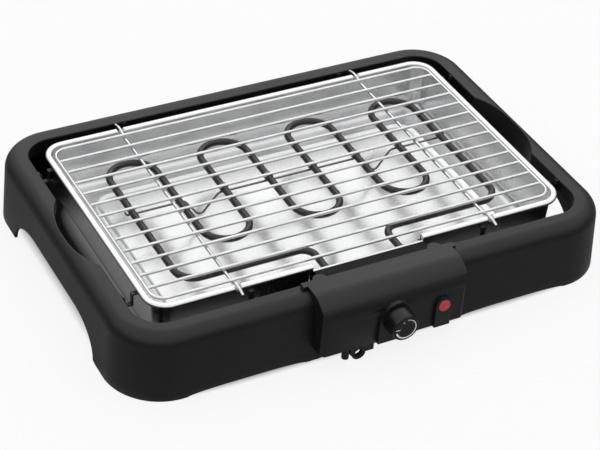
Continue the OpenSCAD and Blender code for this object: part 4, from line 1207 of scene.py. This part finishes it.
# %% Tree of parallel bars
def bar_tree():
    tree, given, out = node_tree(
        "parallel_bars",
        [
            ("Bars", "NodeSocketInt", 12),
            ("Pitch", "NodeSocketFloat", 0.01746),
            ("First bar", "NodeSocketVector", (0, 0, 0)),
            ("Length", "NodeSocketFloat", 0.38),
            ("Diameter", "NodeSocketFloat", 0.003),
            ("Sides", "NodeSocketInt", 16),
            ("Material", "NodeSocketMaterial", None),
        ],
    )
    places = tree.nodes.new("GeometryNodeMeshLine")
    step = tree.nodes.new("ShaderNodeCombineXYZ")
    ends = [tree.nodes.new("ShaderNodeCombineXYZ") for _ in range(2)]
    bar = tree.nodes.new("GeometryNodeCurvePrimitiveLine")
    ring = tree.nodes.new("GeometryNodeCurvePrimitiveCircle")
    sweep = tree.nodes.new("GeometryNodeCurveToMesh")
    sweep.inputs["Fill Caps"].default_value = True
    spread = tree.nodes.new("GeometryNodeInstanceOnPoints")
    tree.links.new(given.outputs["Bars"], places.inputs["Count"])
    tree.links.new(given.outputs["First bar"], places.inputs["Start Location"])
    tree.links.new(given.outputs["Pitch"], step.inputs["Y"])
    tree.links.new(step.outputs[0], places.inputs["Offset"])
    tree.links.new(product_of(tree, given.outputs["Length"], -0.5), ends[0].inputs["X"])
    tree.links.new(half_of(tree, given.outputs["Length"]), ends[1].inputs["X"])
    tree.links.new(ends[0].outputs[0], bar.inputs["Start"])
    tree.links.new(ends[1].outputs[0], bar.inputs["End"])
    tree.links.new(half_of(tree, given.outputs["Diameter"]), ring.inputs["Radius"])
    tree.links.new(given.outputs["Sides"], ring.inputs["Resolution"])
    tree.links.new(bar.outputs[0], sweep.inputs["Curve"])
    tree.links.new(ring.outputs["Curve"], sweep.inputs["Profile Curve"])
    tree.links.new(places.outputs["Mesh"], spread.inputs["Points"])
    tree.links.new(sweep.outputs["Mesh"], spread.inputs["Instance"])
    finish_tree(tree, given, out, spread.outputs["Instances"])
    return tree


BAR_TREE = bar_tree()
BARS, BAR_PITCH = 12, RACK_W / 13
bar_mesh = run_tree(
    "rack_bars_chromed",
    bpy.data.objects.new("bar_source", bpy.data.meshes.new("bar_source")),
    BAR_TREE,
    {
        "Bars": BARS,
        "Pitch": BAR_PITCH * 0.001,
        "First bar": row(0, BAR_PITCH - RACK_W / 2, BAR_Z),
        "Length": (RACK_L - WIRE + 0.6) * 0.001,
        "Diameter": WIRE * 0.001,
        "Sides": 16,
        "Material": CHROME,
    },
)
finish_piece("rack_bars_chromed", bar_mesh, None, "rack", ["rack_bars"], 50)


# %% Ring and cross wires
ring_corners = [(sx * RACK_L / 2, sy * RACK_W / 2, BAR_Z) for sx, sy in ((1, -1), (1, 1), (-1, 1), (-1, -1))]
ring_path = [(bent_path(ring_corners, RACK_R, 14, True), True)]
wire_piece("rack_ring_chromed", ring_path, WIRE, CHROME, "rack", ["rack_frame"])
half_tray = TRAY_W / 2
steps = [(RACK_W / 2 + 1, CROSS_Z), (half_tray - 6.8, HUMP_Z), (half_tray + 1, HUMP_Z), (half_tray + 8, HUMP_Z - 1.8)]
cross_paths = [
    (bent_path([(x, -y, z) for y, z in reversed(steps)] + [(x, y, z) for y, z in steps], 5.0, 6), False)
    for x in (-CROSS_X, CROSS_X)
]
wire_piece("rack_cross_wires_chromed", cross_paths, WIRE, CHROME, "rack", ["rack_cross_wires"])

# %% [markdown]
# Resistance welding leaves a small flattened nugget wherever two wires were pressed together. A third tree puts one
# at each crossing, with a little random size from a fixed seed, so no two are quite alike.


# %% Weld nuggets
def nugget_tree():
    tree, given, out = node_tree(
        "weld_nuggets",
        [
            ("Size", "NodeSocketFloat", 0.002),
            ("Seed", "NodeSocketInt", 4),
            ("Material", "NodeSocketMaterial", None),
        ],
    )
    ball = tree.nodes.new("GeometryNodeMeshIcoSphere")
    ball.inputs["Subdivisions"].default_value = 3
    chance = tree.nodes.new("FunctionNodeRandomValue")
    chance.data_type = "FLOAT_VECTOR"
    chance.inputs["Min"].default_value = (0.85, 0.85, 0.8)
    chance.inputs["Max"].default_value = (1.2, 1.2, 1.0)
    spread = tree.nodes.new("GeometryNodeInstanceOnPoints")
    tree.links.new(half_of(tree, given.outputs["Size"]), ball.inputs["Radius"])
    tree.links.new(given.outputs["Seed"], chance.inputs["Seed"])
    tree.links.new(given.outputs["Geometry"], spread.inputs["Points"])
    tree.links.new(ball.outputs["Mesh"], spread.inputs["Instance"])
    tree.links.new(chance.outputs["Value"], spread.inputs["Scale"])
    finish_tree(tree, given, out, spread.outputs["Instances"])
    return tree


weld_points = []
for k in range(1, BARS + 1):
    y = k * BAR_PITCH - RACK_W / 2
    weld_points += [row(sx * (RACK_L / 2 - 1.6), y, BAR_Z) for sx in (-1, 1)]
    weld_points += [row(x, y, (BAR_Z + CROSS_Z) / 2) for x in (-CROSS_X, CROSS_X)]
for sy in (-1, 1):
    weld_points += [row(x, sy * RACK_W / 2, (BAR_Z + CROSS_Z) / 2) for x in (-CROSS_X, CROSS_X)]
weld_source = bpy.data.meshes.new("weld_source")
weld_source.from_pydata(weld_points, [], [])
weld_mesh = run_tree(
    "rack_welds",
    bpy.data.objects.new("weld_source", weld_source),
    nugget_tree(),
    {"Size": 0.0029, "Seed": 4, "Material": CHROME},
)
finish_piece("rack_welds", weld_mesh, None, "rack", (), 60)

# %% [markdown]
# ## The heating tube and its stay
#
# The element is one steel tube filled with magnesia and bent flat: eight legs at one pitch, joined in turn at the back
# and at the front, with both outer legs brought round to two ends that pass through the control unit's flange. Its
# path follows a rule, so it is computed from the leg pitch and the bending radii, then swept.


# %% Heating tube
# Where the tube's ends stop, the run across the front, the far turns and the near ones, all in Y or radii
TUBE_END, RUN_Y, BACK_Y, FRONT_Y = -149.4, -87.0, 64.05, -53.0
TURN_R, EXIT_R, PIN_X = 17.0, 12.0, 36.0


def turn(cx, cy, r, start, sweep, steps=20):
    return [(*on_circle(cx, cy, r, start + sweep * k / steps), ELEMENT_Z) for k in range(steps + 1)]


def leg_x(i):
    return (i - 3.5) * LEG_PITCH


def tube_path():
    loop, outer, exit_y = LEG_PITCH / 2, 3.5 * LEG_PITCH, RUN_Y - EXIT_R
    path = [(-PIN_X, TUBE_END, ELEMENT_Z), (-PIN_X, exit_y, ELEMENT_Z)]
    path += turn(-PIN_X - EXIT_R, exit_y, EXIT_R, 0, 90, 10)
    path += turn(-outer + TURN_R, RUN_Y + TURN_R, TURN_R, -90, -90, 12)
    for i in range(0, 8, 2):
        path += turn(leg_x(i + 0.5), BACK_Y, loop, 180, -180)
        if i < 6:
            path += turn(leg_x(i + 1.5), loop + TUBE / 2 + FRONT_Y, loop, 180, 180)
    path += turn(outer - TURN_R, RUN_Y + TURN_R, TURN_R, 0, -90, 12)
    path += turn(PIN_X + EXIT_R, exit_y, EXIT_R, 90, 90, 10)
    path += [(PIN_X, TUBE_END, ELEMENT_Z)]
    spaced = [path[0]]
    for p in path[1:]:
        if (Vector(p) - Vector(spaced[-1])).length > 0.05:
            spaced.append(p)
    return [row(*p) for p in spaced]


tube_line = [(tube_path(), False)]
wire_piece("heating_tube", tube_line, TUBE, FIRED_TUBE, "heater", ["heating_element"], 24)


# %% Stay
def stay_path():
    y, z, dip, hook = 20, ELEMENT_Z - TUBE / 2 - 1, 21, 3.5 * LEG_PITCH + TUBE / 2 + 1.3
    half = [(leg_x(5.1), y, z), (leg_x(5.5), y, z - dip), (leg_x(5.85), y, z)]
    half += [(hook, y, z), (hook + 1, y, z + 0.7 * TUBE)]
    return bent_path([(-px, py, pz) for px, py, pz in reversed(half)] + half, 5.0, 10)


wire_piece("stay_wire_bent", [(stay_path(), False)], 2.0, STAY_METAL, "heater", ["element_stay"], 12)

# %% [markdown]
# ## Pieces whose CAD shape is right
#
# Many small parts are already the right shape, and only look raw because every edge is knife sharp. A copy of such a
# mesh gets its doubles merged, its flat areas joined, and a fine bevel on its real edges only. That bevel is what
# catches a line of light on a pressed or moulded part.


# %% Softening a copy of a CAD solid
def soften(node, name, material, bevel, crease=30):
    source = frame["nodes"][node]
    mesh = source.data.copy()
    mesh.name = name
    work = bmesh.new()
    work.from_mesh(mesh)
    bmesh.ops.remove_doubles(work, verts=work.verts, dist=2e-6)
    bmesh.ops.dissolve_limit(
        work, angle_limit=math.radians(0.6), verts=work.verts, edges=work.edges, use_dissolve_boundaries=False
    )
    work.to_mesh(mesh)
    work.free()
    piece = finish_piece(name, mesh, material, body_of(source)[0], [node], crease)
    round_over = piece.modifiers.new("round_over", "BEVEL")
    round_over.width, round_over.segments = bevel * 0.001, 2
    round_over.limit_method, round_over.angle_limit = "ANGLE", math.radians(crease)
    round_over.use_clamp_overlap = round_over.harden_normals = True
    return piece


soften("control_housing", "control_cover", BOX_BLACK, 0.6)
soften("control_base", "control_bottom", BOX_BLACK, 0.3)
soften("heat_shield", "heat_shield_sheet", SHIELD_BLACK, 0.2)
soften("lamp_lens", "lamp_lens_cap", LENS_RED, 0.7)
soften("control_knob", "knob_cap", KNOB_BLACK, 0.2)
soften("cord_clamp", "cord_clamp_block", BOX_BLACK, 0.4)
soften("cord_gland", "cord_gland_ring", RUBBER, 0.3)
soften("support_peg", "support_peg_round", BOX_BLACK, 0.4)
soften("foot_pads", "foot_pads_rubber", RUBBER, 0.4)

# %% [markdown]
# The brackets that carry the tray are narrow tongues. Their CAD solids are wider, so each loose part of the mesh is
# made narrower along the edge that it hangs on, about its own middle.


# %% Narrow brackets
def islands(work):
    left = set(work.verts)
    while left:
        stack, found = [left.pop()], []
        while stack:
            vert = stack.pop()
            found.append(vert)
            for edge in vert.link_edges:
                other = edge.other_vert(vert)
                if other in left:
                    left.remove(other)
                    stack.append(other)
        yield found


def make_brackets(share=0.5):
    piece = soften("tray_brackets", "tray_bracket_strips", STRIP_BROWN, 0.2)
    work = bmesh.new()
    work.from_mesh(piece.data)
    for part in islands(work):
        low = [min(v.co[i] for v in part) for i in range(2)]
        high = [max(v.co[i] for v in part) for i in range(2)]
        on_short_side = abs(low[0] + high[0]) > 2 * (OPENING_L / 2 - 20) * 0.001
        along = 1 if on_short_side else 0
        middle = (low[along] + high[along]) / 2
        for vert in part:
            vert.co[along] = middle + (vert.co[along] - middle) * share
    work.to_mesh(piece.data)
    work.free()
    return piece


make_brackets()

# %% [markdown]
# The strip in the tray's cut-out is one folded sheet: up from inside the tray, over a small bend and down again in
# front. Only the faces that look upwards, the fold, get the bright steel; the faces that look sideways or down get the
# black sheet finish, which is painted shade. A fold is a section carried along a straight line, so it is drawn as the
# sheet's two faces. A small tab at each end closes the slit beside the tray's cut edge.


# %% Folded strip in the cut-out
STRIP_HALF, TAB_T, TAB_BACK = 52.85, 1.2, -119.4


def make_strip():
    inner, outer, top, low, t, r = -122.9, -125.9, 64.0, 49.2, 0.9, 1.4
    upper = arc(outer + r, top - r, r, 180, 90, 6) + arc(inner - r, top - r, r, 90, 0, 6)
    lower = arc(inner - r, top - r, r - t, 0, 90, 4) + arc(outer + r, top - r, r - t, 90, 180, 4)
    outline = [(outer, low)] + upper + [(inner, low), (inner - t, low)] + lower + [(outer + t, low)]
    points, faces = prism_x(outline, -STRIP_HALF, STRIP_HALF)
    for x0, x1 in ((-STRIP_HALF, -STRIP_HALF + TAB_T), (STRIP_HALF - TAB_T, STRIP_HALF)):
        add_part(points, faces, *box_at((x0, inner - 0.05, low), (x1, TAB_BACK, top - 0.6)))
    mesh = mesh_of("element_strip", points, faces)
    piece = finish_piece("element_strip", mesh, TRAY_STEEL, "heater", ["element_bracket"], 40)
    piece.data.materials.append(SHIELD_BLACK)
    # Painted shade: faces that look upwards keep the bright steel, all others take the black sheet finish.
    for face in piece.data.polygons:
        face.material_index = 0 if face.normal.z > 0.3 else 1
    return piece


make_strip()

# %% Materials on the solids that stay as they are
kept = {
    "bracket_screws": SHIELD_BLACK,
    "stay_clips": STAY_METAL,
    "terminal_pins": BRASS,
    "terminal_insulators": CERAMIC,
    "element_flange": PLATED,
    "flange_screws": PLATED,
    "housing_screws": PLATED,
    "thermostat_body": BODY_CREAM,
    "thermostat_nut": BRASS,
    "thermostat_shaft": PLATED,
    "knob_marks": MARK_WHITE,
    "lamp_holder": GREY_LEAD,
    "safety_switch": BOX_BLACK,
    "switch_plunger": CERAMIC,
    "thermal_cutout": PLATED,
    "terminal_block": CERAMIC,
    "earth_tag": BRASS,
    "supply_lead": BROWN_LEAD,
    "neutral_lead": BLUE_LEAD,
    "element_leads": PALE_LEAD,
    "lamp_lead": GREY_LEAD,
    "clamp_screw": PLATED,
}
for node, material in kept.items():
    solid = frame["nodes"][node]
    if not solid.material_slots:
        solid.data.materials.append(material)
    for slot in solid.material_slots:
        slot.material = material
print("solids kept:", len(kept))
